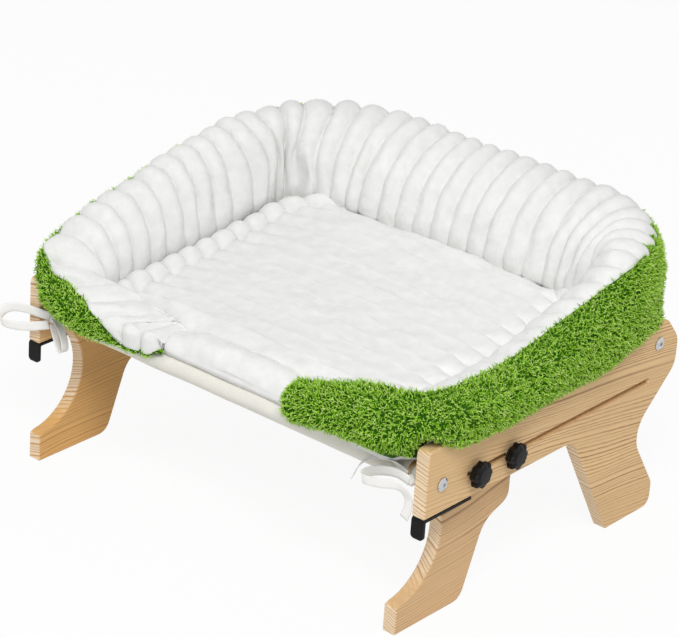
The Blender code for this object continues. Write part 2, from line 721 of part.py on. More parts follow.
def tie_knot(name, side, paint, root):
    """Tape wrapped round the crossbar's end and knotted in front of it."""
    inner = BAR_R + GAP
    half = TAPE_WIDTH / 2
    rows = [(-half, inner + TAPE_THICK), (half, inner + TAPE_THICK), (half, inner), (-half, inner)]
    place = (side * TIE_X, FRONT_BAR_Y, FRONT_BAR_Z)
    wrap = solid(name, turned(rows, 20, closed=True), paint, place, root, smooth=50)
    ball = bmesh.new()
    bmesh.ops.create_uvsphere(ball, u_segments=12, v_segments=8, radius=0.5)
    for vert in ball.verts:
        vert.co = Vector(a * size for a, size in zip(vert.co, KNOT))
        vert.co.y -= inner + KNOT[1] / 2
    combine(wrap, ball, name + "_ball", "UNION")


def smooth_route(points, steps):
    """A smooth curve through the given points, as evenly stepped points."""
    ends = [points[0] * 2 - points[1], *points, points[-1] * 2 - points[-2]]
    route = []
    for i in range(1, len(ends) - 2):
        p0, p1, p2, p3 = ends[i - 1:i + 3]
        for k in range(steps):
            s = k / steps
            route.append(0.5 * ((2 * p1) + (p2 - p0) * s + (2 * p0 - 5 * p1 + 4 * p2 - p3) * s * s
                                + (3 * p1 - p0 - 3 * p2 + p3) * s ** 3))
    route.append(points[-1])
    return route


# Routes of the tapes in millimetres, from the front of the crossbar at the tie's middle. The
# last column turns the tape's width from upright, 0, to its flat direction, 1.
RIGHT_LOOP = ((1, -7.9, 1, 0.2), (-9, -9, 4, 0.2), (-20, -10, 4, 0.1), (-36, -11, -1, 0),
              (-46, -13, -6, 0), (-48, -17, -9, 0), (-43, -20, -10, 0), (-26, -18, -8, 0),
              (-12, -15, -5, 0.2), (-3, -12, -8, 0.8), (2, -9, -17, 1), (2, -9, -28, 1), (-1, -10, -38, 1))
RIGHT_TAIL = ((-5.9, -3.1, 3, 0), (-10, -3.2, 4, 0), (-22, -3.5, 10, 0.7), (-40, -4, 9, 1),
              (-51, -6, 4, 1), (-60, -8, -6, 1), (-66, -9, -20, 1))
LEFT_LOOP = ((1, -7.9, 3, 0), (-10, -14, 6, 0), (-26, -17, 6, 0), (-44, -19, 2, 0),
             (-54, -23, -6, 0), (-48, -28, -13, 0), (-28, -25, -12, 0), (-10, -19, -8, 0),
             (2, -10, -5, 0))
LEFT_TAIL = ((1.5, -4, -5.9, 1), (5, -4.5, -12, 1), (10, -5.5, -21, 1), (15, -6.5, -28, 1),
             (20, -7.5, -30.5, 1), (24, -8, -26, 1), (23, -8, -17, 1), (18, -7.5, -7, 1),
             (11.5, -6.4, -0.5, 1), (5.95, -4, 1.2, 1))
FLAT_SIDEWAYS = Vector((1, 0, 0))
FLAT_BACK = Vector((0, 1, 0))
FLAT_FORWARD = Vector((0.4, -0.9, 0))


def tape(name, side, route, flat, paint, root):
    """Flat tape along a route; its ends are cut square."""
    places = smooth_route([Vector(p[:3]) * MM for p in route], 3)
    lays = smooth_route([Vector((p[3], 0, 0)) for p in route], 3)
    bm = bmesh.new()
    loops = []
    width = Vector((0, 0, 1))
    for i, place in enumerate(places):
        ahead = places[min(i + 1, len(places) - 1)] - places[max(i - 1, 0)]
        ahead.normalize()
        wanted = Vector((0, 0, 1)).lerp(flat, lays[i].x)
        width = width * TAPE_CARRY + (wanted if wanted.dot(width) > 0 else -wanted)
        width = (width - ahead * width.dot(ahead)).normalized()
        across = width * TAPE_WIDTH / 2
        thick = ahead.cross(width) * TAPE_THICK / 2
        corners = (across + thick, thick - across, -across - thick, across - thick)
        loops.append(ring_of(bm, [place + c for c in corners]))
    skin(bm, loops)
    front = FRONT_BAR_Y - BAR_R - GAP - TAPE_THICK
    solid(name, bm, paint, (side * TIE_X, front, FRONT_BAR_Z), root, smooth=40)


def middle_y():
    """Middle of the perch from front to back, over every solid that is built so far."""
    bpy.context.view_layer.update()
    reach = []
    for thing in bpy.data.objects:
        if thing.type == "MESH" and not thing.hide_render:
            reach += [(thing.matrix_world @ vert.co).y for vert in thing.data.vertices]
    return (min(reach) + max(reach)) / 2


def build():
    clear_scene()
    outer_wood = material("ash_board", (0.62, 0.42, 0.22), 0.55)
    leg_wood = material("ash_leg", (0.60, 0.40, 0.20), 0.55)
    dowel_wood = material("beech_dowel", (0.66, 0.47, 0.28), 0.5)
    zinc = material("zinc_plated_steel", (0.62, 0.62, 0.60), 0.3, 1.0)
    brass = material("brass_insert", (0.70, 0.55, 0.25), 0.35, 1.0)
    black_steel = material("black_steel", (0.02, 0.019, 0.018), 0.5, 0.6)
    black_plastic = material("black_plastic", (0.012, 0.011, 0.011), 0.42)
    canvas = material("white_cloth", (0.78, 0.76, 0.72), 0.85)
    white_plush = material("white_plush", (0.86, 0.85, 0.83), 0.9)
    green_plush = material("green_plush", (0.16, 0.42, 0.06), 0.95)
    tape_cloth = material("white_tape", (0.85, 0.85, 0.84), 0.8)

    root = empty("perch", (0, 0, 0))
    for hand, side in (("right", 1), ("left", -1)):
        side_panel(hand + "_side_panel", side, outer_wood, root)
        sill_hook(hand + "_sill_hook", side, black_steel, root)
        for place, y in zip(("front", "rear"), SCREW_Y):
            hook_screw(hand + "_hook_" + place + "_screw", side, y, zinc, root)
        leg_axis = empty(hand + "_leg_slide", (0, STUD_Y, SLOT_Z), root)
        front_leg(hand + "_front_leg", side, leg_wood, leg_axis)
        for place, y in (("front", 0), ("rear", STUD_PITCH)):
            knob = hand + "_" + place + "_knob"
            leg_insert(knob + "_insert", side, y, brass, leg_axis)
            knob_washer(knob + "_washer", side, y, zinc, leg_axis)
            axis = empty(knob + "_axis", (0, y, 0), leg_axis)
            clamp_knob(knob, side, black_plastic, axis)
            clamp_stud(knob + "_stud", side, zinc, axis)
        tie_knot(hand + "_tie_knot", side, tape_cloth, root)
    for place, y, z in (("front", FRONT_BAR_Y, FRONT_BAR_Z), ("rear", REAR_BAR_Y, REAR_BAR_Z)):
        bar = place + "_crossbar"
        crossbar(bar, y, z, dowel_wood, root)
        for hand, side in (("right", 1), ("left", -1)):
            bar_insert(bar + "_" + hand + "_insert", side, y, z, brass, root)
            crossbar_bolt(bar + "_" + hand + "_bolt", side, y, z, zinc, root)
    hammock_cloth("hammock_cloth", canvas, root)
    seat_pad("seat_pad", white_plush, root)
    bolster("bolster_white_plush", False, 9, RIB_DEPTH, white_plush, root)
    bolster("bolster_green_plush", True, 8, 0, green_plush, root)
    root.location.y = -middle_y()
    tape("right_tie_loop", 1, RIGHT_LOOP, FLAT_SIDEWAYS, tape_cloth, root)
    tape("right_tie_tail", 1, RIGHT_TAIL, FLAT_FORWARD, tape_cloth, root)
    tape("left_tie_loop", -1, LEFT_LOOP, FLAT_SIDEWAYS, tape_cloth, root)
    tape("left_tie_tail", -1, LEFT_TAIL, FLAT_BACK, tape_cloth, root)


build()
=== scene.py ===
"""Looks of the cat window perch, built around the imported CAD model.

The soft pieces are worked out in millimetres with y = 0 at the front ends of the beams, as in
the part's source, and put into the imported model's frame, in metres, when their meshes are made.
"""

import math

import bpy
import numpy as np
from mathutils import Matrix, Vector
from mathutils.noise import noise as noise_at


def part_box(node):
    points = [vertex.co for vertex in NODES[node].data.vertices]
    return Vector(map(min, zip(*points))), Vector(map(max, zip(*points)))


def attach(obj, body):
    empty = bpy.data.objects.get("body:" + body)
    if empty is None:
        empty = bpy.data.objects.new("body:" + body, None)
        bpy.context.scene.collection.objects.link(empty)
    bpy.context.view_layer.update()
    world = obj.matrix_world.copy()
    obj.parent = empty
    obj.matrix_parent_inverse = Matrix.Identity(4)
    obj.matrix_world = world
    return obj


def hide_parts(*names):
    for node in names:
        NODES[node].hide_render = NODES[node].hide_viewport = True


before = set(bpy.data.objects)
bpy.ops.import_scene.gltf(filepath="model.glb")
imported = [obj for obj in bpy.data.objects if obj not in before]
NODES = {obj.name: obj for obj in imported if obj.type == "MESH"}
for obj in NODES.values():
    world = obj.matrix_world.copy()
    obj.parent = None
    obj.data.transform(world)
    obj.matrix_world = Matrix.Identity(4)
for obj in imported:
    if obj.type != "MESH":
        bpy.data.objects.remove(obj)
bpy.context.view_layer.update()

MM = 0.001
FRONT_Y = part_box("right_side_panel")[0].y
SCENE = bpy.context.scene

# Sizes that the looks share with the part's source, in millimetres
HALF, LEG_HEAD_TOP = 262.5, 172.0
BEAM_TOP, REAR_TOP, RISE_START, REAR_TOP_Y = 197.0, 213.0, 300.0, 381.0
BAR_R, SLEEVE_R = 10.0, 11.3
FRONT_BAR, REAR_BAR = (23.0, 156.5), (368.0, 190.0)
CLOTH_HALF, CLOTH_SAG, SLEEVE_SEAM = 227.7, 6.0, 22.0
BOLSTER_X, BOLSTER_FRONT, BOLSTER_BACK = 238.0, 12.0, 394.0
FRONT_BEND, BACK_BEND, ENTRANCE = 40.0, 110.0, 176.0
RIB_PITCH = 24.5
PAD_THICK, PAD_CROWN, PAD_EDGE, PAD_ROUND, PAD_FRONT = 23.0, 4.0, 0.62, 14.0, 16.0
TIE_X, TAPE_WIDTH, TAPE_THICK = 238.0, 10.0, 0.9
KNOT = (11.0, 8.0, 11.0)
GAP = 0.3                        # between pieces that touch
SOFT_GAP = 1.2                   # below and between the soft pieces


def mix(a, b, share):
    return a + (b - a) * share


def ease(share):
    share = min(1.0, max(0.0, share))
    return share * share * (3 - 2 * share)


def along(profile, place):
    """Value at a place of a profile of (place, value)."""
    return float(np.interp(place, *zip(*profile)))


def to_frame(points):
    """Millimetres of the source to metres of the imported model."""
    return np.asarray(points, float) * MM + np.array((0.0, FRONT_Y, 0.0))


def unit(vectors):
    return vectors / np.maximum(np.linalg.norm(vectors, axis=-1, keepdims=True), 1e-12)


# Camera

AZIMUTH, ELEVATION, ROLL = (math.radians(a) for a in (38.961, 25.065, 3.856))
FOCAL, IMAGE_WIDTH, SENSOR = 3000.0, 679.0, 36.0
SHIFT_RIGHT, SHIFT_UP, SCALE = -128.617, -219.112, 1.004


def make_camera():
    level_share = math.cos(ELEVATION)
    back = Vector((math.sin(AZIMUTH) * level_share, -math.cos(AZIMUTH) * level_share, math.sin(ELEVATION)))
    level = Vector((math.cos(AZIMUTH), math.sin(AZIMUTH), 0))
    upright = back.cross(level)
    right = level * math.cos(ROLL) + upright * math.sin(ROLL)
    up = upright * math.cos(ROLL) - level * math.sin(ROLL)
    data = bpy.data.cameras.new("camera")
    data.sensor_width = SENSOR
    data.lens = FOCAL / IMAGE_WIDTH * SENSOR
    data.clip_end = 50.0
    camera = bpy.data.objects.new("camera", data)
    SCENE.collection.objects.link(camera)
    matrix = Matrix((right, up, back)).transposed().to_4x4()
    place = right * (-SHIFT_RIGHT / SCALE) + up * (-SHIFT_UP / SCALE) + back * (FOCAL / SCALE)
    matrix.translation = place * MM + Vector((0, FRONT_Y, 0))
    camera.matrix_world = matrix
    SCENE.camera = camera


# Meshes

def mesh_piece(name, points, faces, material):
    """One smooth mesh object, from points in millimetres, that rides on the frame."""
    data = bpy.data.meshes.new(name)
    data.from_pydata(to_frame(points).tolist(), [], faces)
    data.update()
    data.materials.append(material)
    data.shade_smooth()
    piece = bpy.data.objects.new(name, data)
    SCENE.collection.objects.link(piece)
    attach(piece, "root")
    return piece


def loops_faces(rows, count, close_rows=False):
    """Faces of a skin through rows of points, each row a closed loop of count points.

    The first and last row get a cap each, unless the rows themselves close into a ring.
    """
    faces = []
    for i in range(rows if close_rows else rows - 1):
        n = (i + 1) % rows
        for k in range(count):
            m = (k + 1) % count
            faces.append((i * count + k, i * count + m, n * count + m, n * count + k))
    if not close_rows:
        faces.append(tuple(reversed(range(count))))
        faces.append(tuple((rows - 1) * count + k for k in range(count)))
    return faces


def grid_normals(grid):
    """Outward normals of a grid of points, one for each point."""
    return unit(np.cross(np.gradient(grid, axis=0), np.gradient(grid, axis=1)))


# Shader nodes

def make(tree, kind, inputs=(), **settings):
    """A shader node with its settings, and its inputs set to a value or linked to a socket."""
    node = tree.nodes.new("ShaderNode" + kind)
    for key, value in settings.items():
        setattr(node, key, value)
    for key, value in dict(inputs).items():
        if isinstance(value, bpy.types.NodeSocket):
            tree.links.new(value, node.inputs[key])
        else:
            node.inputs[key].default_value = value
    return node


def srgb(red, green, blue):
    """Linear colour of an 8-bit one."""
    parts = [c / 255 for c in (red, green, blue)]
    return (*[c / 12.92 if c < 0.04045 else ((c + 0.055) / 1.055) ** 2.4 for c in parts], 1.0)


def between(early, late, share):
    """A colour between two others."""
    return tuple(mix(a, b, share) for a, b in zip(early, late))


def darkened(colour, share):
    return tuple(c * share for c in colour[:3]) + (1.0,)


def paint(name, roughness, metallic=0.0, sheen=0.0, specular=0.5, colour=None):
    """A new material; gives it with its tree, its shader and its object coordinates."""
    material = bpy.data.materials.new(name)
    material.use_nodes = True
    tree = material.node_tree
    shader = tree.nodes["Principled BSDF"]
    shader.inputs["Roughness"].default_value = roughness
    shader.inputs["Metallic"].default_value = metallic
    shader.inputs["Specular IOR Level"].default_value = specular
    if sheen:
        shader.inputs["Sheen Weight"].default_value = sheen
        shader.inputs["Sheen Roughness"].default_value = 0.5
    if colour:
        shader.inputs["Base Color"].default_value = colour
    return material, tree, shader, make(tree, "TexCoord").outputs["Object"]


def ramp(tree, value, stops):
    """A colour ramp over a value, from stops (place, colour)."""
    node = make(tree, "ValToRGB", {"Fac": value})
    marks = node.color_ramp.elements
    marks[0].position, marks[0].color = stops[0]
    marks[1].position, marks[1].color = stops[-1]
    for place, colour in stops[1:-1]:
        marks.new(place).color = colour
    return node.outputs["Color"]


def remap(tree, value, low, high, to_low=0.0, to_high=1.0):
    """The range from low to high turned into another one."""
    return make(tree, "MapRange", {"Value": value, "From Min": low, "From Max": high,
                                   "To Min": to_low, "To Max": to_high}).outputs[0]


def blend_colours(tree, share, one, other, kind="MIX"):
    node = make(tree, "Mix", {0: share, 6: one, 7: other}, data_type="RGBA", blend_type=kind)
    return node.outputs[2]


def math_node(tree, operation, a, b):
    return make(tree, "Math", {0: a, 1: b}, operation=operation).outputs[0]


def plus(tree, a, b):
    return math_node(tree, "ADD", a, b)


def minus(tree, a, b):
    return math_node(tree, "SUBTRACT", a, b)


def times(tree, a, b):
    return math_node(tree, "MULTIPLY", a, b)


def noise(tree, coords, scale, detail, stretch=(1, 1, 1)):
    placed = make(tree, "Mapping", {"Vector": coords, "Scale": stretch}).outputs[0]
    return make(tree, "TexNoise", {"Vector": placed, "Scale": scale, "Detail": detail}).outputs["Fac"]


def line_noise(tree, value, scale):
    """Noise over a single number."""
    return make(tree, "TexNoise", {"W": value, "Scale": scale, "Detail": 1.0},
                noise_dimensions="1D").outputs["Fac"]


def bump(tree, shader, height, distance, strength):
    node = make(tree, "Bump", {"Height": height, "Distance": distance, "Strength": strength})
    tree.links.new(node.outputs["Normal"], shader.inputs["Normal"])


# Materials

OPEN_EARLY, OPEN_MIDDLE = srgb(238, 216, 186), srgb(228, 200, 164)     # end grain
CALM_FROM, CALM_TO = 0.05, 0.13     # the front stretch of a board with weaker lines, from its front end


def wood(name, early, late, pitch, tilt, contrast=1.0, calm=1.0):
    """Solid wood with its grain along Y: nearly flat growth rings that sway and fade in places.

    Level faces show weaker lines, and faces across the grain show the open ends of the rings.
    calm is the share of the lines' strength that is left at the front end.
    """
    material, tree, shader, coords = paint(name, 0.55, specular=0.3)
    place = make(tree, "SeparateXYZ", {0: coords}).outputs
    normal = make(tree, "SeparateXYZ", {0: make(tree, "NewGeometry").outputs["Normal"]}).outputs

    height = plus(tree, place[2], times(tree, place[1], tilt[1]))
    height = plus(tree, height, times(tree, place[0], tilt[0]))
    height = plus(tree, height, times(tree, noise(tree, coords, 1.0, 1.5, (5, 3.2, 5)), 0.056))
    ragged = times(tree, noise(tree, coords, 1.0, 2.0, (420, 70, 420)), 0.0011)
    height = plus(tree, height, ragged)
    count = plus(tree, math_node(tree, "DIVIDE", height, pitch),
                 times(tree, line_noise(tree, height, 60.0), 2.6))
    ring = math_node(tree, "FRACT", count, 0.0)
    middle = between(early, late, 0.35)
    lines = ramp(tree, ring, [(0.0, early), (0.42, early), (0.74, middle), (0.88, late), (0.95, middle),
                              (1.0, early)])

    faded = remap(tree, noise(tree, coords, 1.0, 2.0, (16, 4, 26)), 0.36, 0.6, 0.35, contrast)
    grown = remap(tree, place[1], FRONT_Y + CALM_FROM, FRONT_Y + CALM_TO, calm, 1.0)
    across = remap(tree, times(tree, normal[1], normal[1]), 0.25, 0.75)
    level = times(tree, times(tree, normal[2], normal[2]), 0.85)
    strong = remap(tree, line_noise(tree, count, 0.45), 0.34, 0.54, 0.3, 1.0)
    sharp = times(tree, math_node(tree, "MAXIMUM", times(tree, faded, grown), across), strong)
    sharp = times(tree, sharp, minus(tree, 1.0, level))
    colour = blend_colours(tree, sharp, between(early, late, 0.12), lines)

    fibre = noise(tree, coords, 1.0, 3.0, (1100, 18, 1100))
    broad = noise(tree, coords, 1.0, 2.0, (14, 3, 14))
    shade = times(tree, remap(tree, fibre, 0.3, 0.7, 0.93, 1.05), remap(tree, broad, 0.3, 0.7, 0.94, 1.05))
    tint = make(tree, "CombineColor", {0: shade, 1: shade, 2: shade}).outputs[0]
    colour = blend_colours(tree, 1.0, colour, tint, "MULTIPLY")

    open_rings = ramp(tree, ring, [(0.0, OPEN_EARLY), (0.4, OPEN_EARLY), (0.72, early),
                                   (0.86, between(early, late, 0.75)), (1.0, OPEN_EARLY)])
    open_rings = blend_colours(tree, strong, OPEN_MIDDLE, open_rings)
    colour = blend_colours(tree, across, colour, blend_colours(tree, 1.0, open_rings, tint, "MULTIPLY"))
    tree.links.new(colour, shader.inputs["Base Color"])
    bump(tree, shader, minus(tree, times(tree, fibre, 0.6), times(tree, ring, 0.3)), 0.0002, 0.5)
    return material


def metal(name, colour, roughness, grain, depth, metallic=1.0):
    """Plated or painted steel, or moulded plastic, with a fine uneven finish."""
    material, tree, shader, coords = paint(name, roughness, metallic, specular=0.2)
    mottle = noise(tree, coords, grain, 3.0)
    colours = ramp(tree, mottle, [(0.35, darkened(colour, 0.8)), (0.65, colour)])
    tree.links.new(colours, shader.inputs["Base Color"])
    bump(tree, shader, mottle, depth, 0.4)
    return material


def plush_ground(name, dark, light):
    """The cloth that a pile is rooted in, seen between its strands; its dark colours are painted shade
    between the strands.
    """
    material, tree, shader, coords = paint(name, 0.85, specular=0.15)
    fine = noise(tree, coords, 420.0, 2.0)
    tree.links.new(ramp(tree, fine, [(0.35, dark), (0.7, light)]), shader.inputs["Base Color"])
    bump(tree, shader, fine, 0.0012, 0.8)
    return material


def plush_pile(name, shaded_root_colour, mid_colour, highlit_tip_colour):
    """Strands of a pile: dark at their roots as painted shade deep in the pile, light at their tips as
    painted highlight, uneven from one to the next.
    """
    material, tree, shader, coords = paint(name, 0.85, specular=0.15)
    tip = make(tree, "Attribute", attribute_name="tip").outputs["Fac"]
    tone = make(tree, "Attribute", attribute_name="tone").outputs["Fac"]
    light = plus(tree, tip, times(tree, minus(tree, tone, 0.5), 0.5))
    light = plus(tree, light, times(tree, minus(tree, noise(tree, coords, 60.0, 2.0), 0.5), 0.4))
    colours = ramp(tree, light, [(0.0, shaded_root_colour), (0.5, mid_colour), (1.0, highlit_tip_colour)])
    tree.links.new(colours, shader.inputs["Base Color"])
    return material


def white_plush(name):
    """Short white pile, brushed in patches."""
    material, tree, shader, coords = paint(name, 0.9, sheen=0.1)
    brushed = noise(tree, coords, 90.0, 3.0)
    fine = noise(tree, coords, 900.0, 2.0)
    colours = ramp(tree, brushed, [(0.3, srgb(226, 226, 224)), (0.7, srgb(234, 234, 233))])
    tree.links.new(colours, shader.inputs["Base Color"])
    bump(tree, shader, plus(tree, times(tree, brushed, 0.5), times(tree, fine, 0.4)), 0.001, 0.5)
    return material


def weave(name, colour, pitch, depth):
    """Plain woven cloth: two crossed sets of threads, and soft shading in patches."""
    material, tree, shader, coords = paint(name, 0.85, sheen=0.1)
    waves = 1.0 / pitch / 2.0 / 3.14159
    warp, weft = (make(tree, "TexWave", {"Vector": coords, "Scale": waves, "Distortion": 0.4},
                       bands_direction=way).outputs["Fac"] for way in ("X", "DIAGONAL"))
    patch = noise(tree, coords, 30.0, 3.0)
    colours = ramp(tree, patch, [(0.3, darkened(colour, 0.93)), (0.7, colour)])
    tree.links.new(colours, shader.inputs["Base Color"])
    bump(tree, shader, math_node(tree, "MAXIMUM", warp, weft), depth, 0.5)
    return material


ASH, ASH_RING = srgb(230, 194, 143), srgb(122, 62, 20)
WOOD_RIGHT = wood("ash_board_right", ASH, ASH_RING, 0.0036, (0.10, 0.155), calm=0.35)
# Partly painted shade: the left board is a little browner than the right one, toned toward the shaded left
# leg
WOOD_LEFT_PART_SHADED = wood("ash_board_left_part_painted_shade", srgb(227, 186, 132), ASH_RING, 0.0036, (-0.14, 0.10), calm=0.5)
WOOD_LEG = wood("ash_leg_right", srgb(223, 186, 138), ASH_RING, 0.0035, (0.35, -0.06), 0.9)
# Painted shade: the left front leg is the same ash as the right one, coloured browner and more saturated as
# if in the cushion's shade
WOOD_LEG_LEFT_SHADED = wood("ash_leg_left_painted_shade", srgb(224, 176, 110), srgb(150, 88, 34), 0.0036, (-0.35, -0.03), 0.9)
WOOD_BAR = wood("beech_bar", srgb(206, 166, 120), srgb(176, 130, 86), 0.0030, (0.3, 0.02), 0.5)
ZINC = metal("zinc_plate", srgb(206, 207, 208), 0.25, 260.0, 0.00008)
BRASS = metal("brass", srgb(190, 150, 80), 0.35, 300.0, 0.00006)
BLACK_STEEL = metal("black_steel", srgb(14, 12, 11), 0.5, 500.0, 0.00012, 0.2)
BLACK_PLASTIC = metal("black_plastic", srgb(12, 10, 9), 0.42, 900.0, 0.00015, 0.0)
CANVAS = weave("white_cloth", srgb(229, 227, 217), 0.0011, 0.0002)
TAPE = weave("white_tape", srgb(244, 243, 240), 0.0009, 0.0002)
WHITE = white_plush("white_plush")
# The strands' root colours are painted shade deep in the pile, their tip colours painted highlight
WHITE_NAP = plush_pile("white_plush_nap", srgb(222, 222, 220), srgb(234, 234, 233), srgb(240, 240, 240))
# Painted shade: the green ground is darker than the strands, for the shade down between them
GREEN_GROUND_SHADED = plush_ground("green_plush_ground_painted_shade", srgb(30, 72, 4), srgb(58, 108, 8))
GREEN_PILE = plush_pile("green_plush_pile", srgb(48, 104, 4), srgb(150, 210, 40), srgb(228, 252, 148))


def dress(names, material):
    """Give carried CAD nodes a better material."""
    for name in names:
        NODES[name].data.materials.clear()
        NODES[name].data.materials.append(material)


def dress_frame():
    dress(["right_side_panel"], WOOD_RIGHT)
    dress(["left_side_panel"], WOOD_LEFT_PART_SHADED)
    dress(["right_front_leg"], WOOD_LEG)
    # the left front leg gets the copy of the ash with painted shade
    dress(["left_front_leg"], WOOD_LEG_LEFT_SHADED)
    dress(["front_crossbar", "rear_crossbar"], WOOD_BAR)
    dress([n for n in NODES if n.endswith("_sill_hook")], BLACK_STEEL)
    dress([n for n in NODES if n.endswith("_knob")], BLACK_PLASTIC)
    dress([n for n in NODES if n.endswith("_insert")], BRASS)
    dress([n for n in NODES if n.endswith(("_bolt", "_screw", "_washer", "_stud"))], ZINC)


# Ties: each route's points are (x, y, z, how far the tape lies flat), from the front of the knot's place

RIGHT_LOOP = ((1, -7.9, 1, 0.2), (-9, -9, 4, 0.2), (-20, -10, 4, 0.1), (-36, -11, -1, 0),
              (-46, -13, -6, 0), (-48, -17, -9, 0), (-43, -20, -10, 0), (-26, -18, -8, 0),
              (-12, -15, -5, 0.2), (-3, -12, -8, 0.8), (2, -9, -17, 1), (2, -9, -28, 1), (-1, -10, -38, 1))
RIGHT_TAIL = ((-5.9, -3.1, 3, 0), (-10, -3.2, 4, 0), (-22, -3.5, 10, 0.7), (-40, -4, 9, 1),
              (-51, -6, 4, 1), (-60, -8, -6, 1), (-66, -9, -20, 1))
LEFT_LOOP = ((1, -7.9, 3, 0), (-10, -14, 6, 0), (-26, -17, 6, 0), (-44, -19, 2, 0),
             (-54, -23, -6, 0), (-48, -28, -13, 0), (-28, -25, -12, 0), (-10, -19, -8, 0),
             (2, -10, -5, 0))
LEFT_TAIL = ((1.5, -4, -5.9, 1), (5, -4.5, -12, 1), (10, -5.5, -21, 1), (15, -6.5, -28, 1),
             (20, -7.5, -30.5, 1), (24, -8, -26, 1), (23, -8, -17, 1), (18, -7.5, -7, 1),
             (11.5, -6.4, -0.5, 1), (5.95, -4, 1.2, 1))
ALONG_X, ALONG_Y, HALF_TURNED = (1.0, 0.0, 0.0), (0.0, 1.0, 0.0), (0.4, -0.9, 0.0)
TAPE_ORIGIN_Y = FRONT_BAR[0] - BAR_R - GAP - TAPE_THICK
TAPE_STEPS = 5                   # from one given point to the next
TAPE_CARRY = 1.2                 # how much a tape keeps the way it lay just before
TAPE_RIM, TAPE_BODY = (0.92, 1.0), (0.45, 0.75)     # shares of the half width and half thickness
WRAP_STEPS, LUMP_ROWS, LUMP_TURNS = 40, 21, 28


def smooth_route(points):
    """Evenly stepped points of a smooth curve through the given ones."""
    points = [np.array(p, float) for p in points]
    ends = [points[0] * 2 - points[1], *points, points[-1] * 2 - points[-2]]
    route = []
    for i in range(1, len(ends) - 2):
        p0, p1, p2, p3 = ends[i - 1:i + 3]
        for k in range(TAPE_STEPS):
            s = k / TAPE_STEPS
            route.append(0.5 * (2 * p1 + (p2 - p0) * s + (2 * p0 - 5 * p1 + 4 * p2 - p3) * s * s
                                + (3 * p1 - p0 - 3 * p2 + p3) * s ** 3))
    route.append(points[-1])
    return np.array(route)


def tape_profile():
    """A tape's section: (place across its width, place through its thickness)."""
    half, thick = TAPE_WIDTH / 2, TAPE_THICK / 2
    (rim, rim_thick), (body, body_thick) = TAPE_RIM, TAPE_BODY
    upper = ((-half * rim, thick * rim_thick), (-half * body, thick * body_thick),
             (half * body, thick * body_thick), (half * rim, thick * rim_thick))
    lower = tuple((across, -through) for across, through in upper[::-1])
    return ((-half, 0), *upper, (half, 0), *lower)


def tape(name, side, points, flat):
    """A flat tape along its route."""
    route = smooth_route(points)
    places = route[:, :3] + np.array((side * TIE_X, TAPE_ORIGIN_Y, FRONT_BAR[1]))
    upright, flat = np.array((0.0, 0.0, 1.0)), np.array(flat)
    ahead = unit(np.gradient(places, axis=0))
    width, rows, profile = upright, [], tape_profile()
    for place, way, lays in zip(places, ahead, route[:, 3]):
        wanted = mix(upright, flat, lays)
        carried = width * TAPE_CARRY + (wanted if wanted @ width > 0 else -wanted)
        width = unit(carried - way * (carried @ way))
        up = np.cross(way, width)
        rows.append([place + width * a + up * b for a, b in profile])
    piece = mesh_piece(name, np.array(rows).reshape(-1, 3), loops_faces(len(rows), len(profile)), TAPE)
    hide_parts(name.replace("_tape", ""))


def make_knot(name, side):
    """The tie's knot: tape wrapped round the bar, and the wound lump of the knot in front of it."""
    place = np.array((side * TIE_X, *FRONT_BAR))
    wrap = []
    for step in range(WRAP_STEPS):
        a = math.radians(step * 360 / WRAP_STEPS)
        out = np.array((0.0, math.cos(a), math.sin(a)))
        inner, outer = BAR_R + GAP, BAR_R + GAP + TAPE_THICK * (1 + 0.25 * math.sin(3 * a))
        ring = ((inner, -1), (outer - 0.2, -1), (outer, -0.5), (outer, 0.5), (outer - 0.2, 1), (inner, 1))
        wrap.append([place + out * r + (w * TAPE_WIDTH / 2, 0, 0) for r, w in ring])
    lump = []
    centre = place - (0, BAR_R + GAP + TAPE_THICK + KNOT[1] / 2 - 0.6, 0)
    for high in np.linspace(-84, 84, LUMP_ROWS):
        h = math.radians(high)
        row = []
        for turn in range(LUMP_TURNS):
            a = turn / LUMP_TURNS * 2 * math.pi
            wound = 1 + 0.09 * math.cos(3 * a + 3.2 * h) - 0.05 * math.cos(9 * a + 9.6 * h)
            row.append(centre + np.array((math.cos(a) * math.cos(h), math.sin(a) * math.cos(h), math.sin(h)))
                       * np.array(KNOT) / 2 * wound)
        lump.append(row)
    points = np.concatenate((np.array(wrap).reshape(-1, 3), np.array(lump).reshape(-1, 3)))
    faces = loops_faces(WRAP_STEPS, len(ring), close_rows=True)
    offset = WRAP_STEPS * len(ring)
    faces += [tuple(offset + v for v in face) for face in loops_faces(LUMP_ROWS, LUMP_TURNS)]
    piece = mesh_piece(name + "_tape", points, faces, TAPE)
    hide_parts(name)


def make_ties():
    tape("right_tie_loop_tape", 1, RIGHT_LOOP, ALONG_X)
    tape("right_tie_tail_tape", 1, RIGHT_TAIL, HALF_TURNED)
    tape("left_tie_loop_tape", -1, LEFT_LOOP, ALONG_X)
    tape("left_tie_tail_tape", -1, LEFT_TAIL, ALONG_Y)
    make_knot("right_tie_knot", 1)
    make_knot("left_tie_knot", -1)


# Bolster. t is the distance from a front end along its middle line: front, corner, side, corner, back.
# Round a section, angle 0 is outwards, 90 is up and 180 inwards.

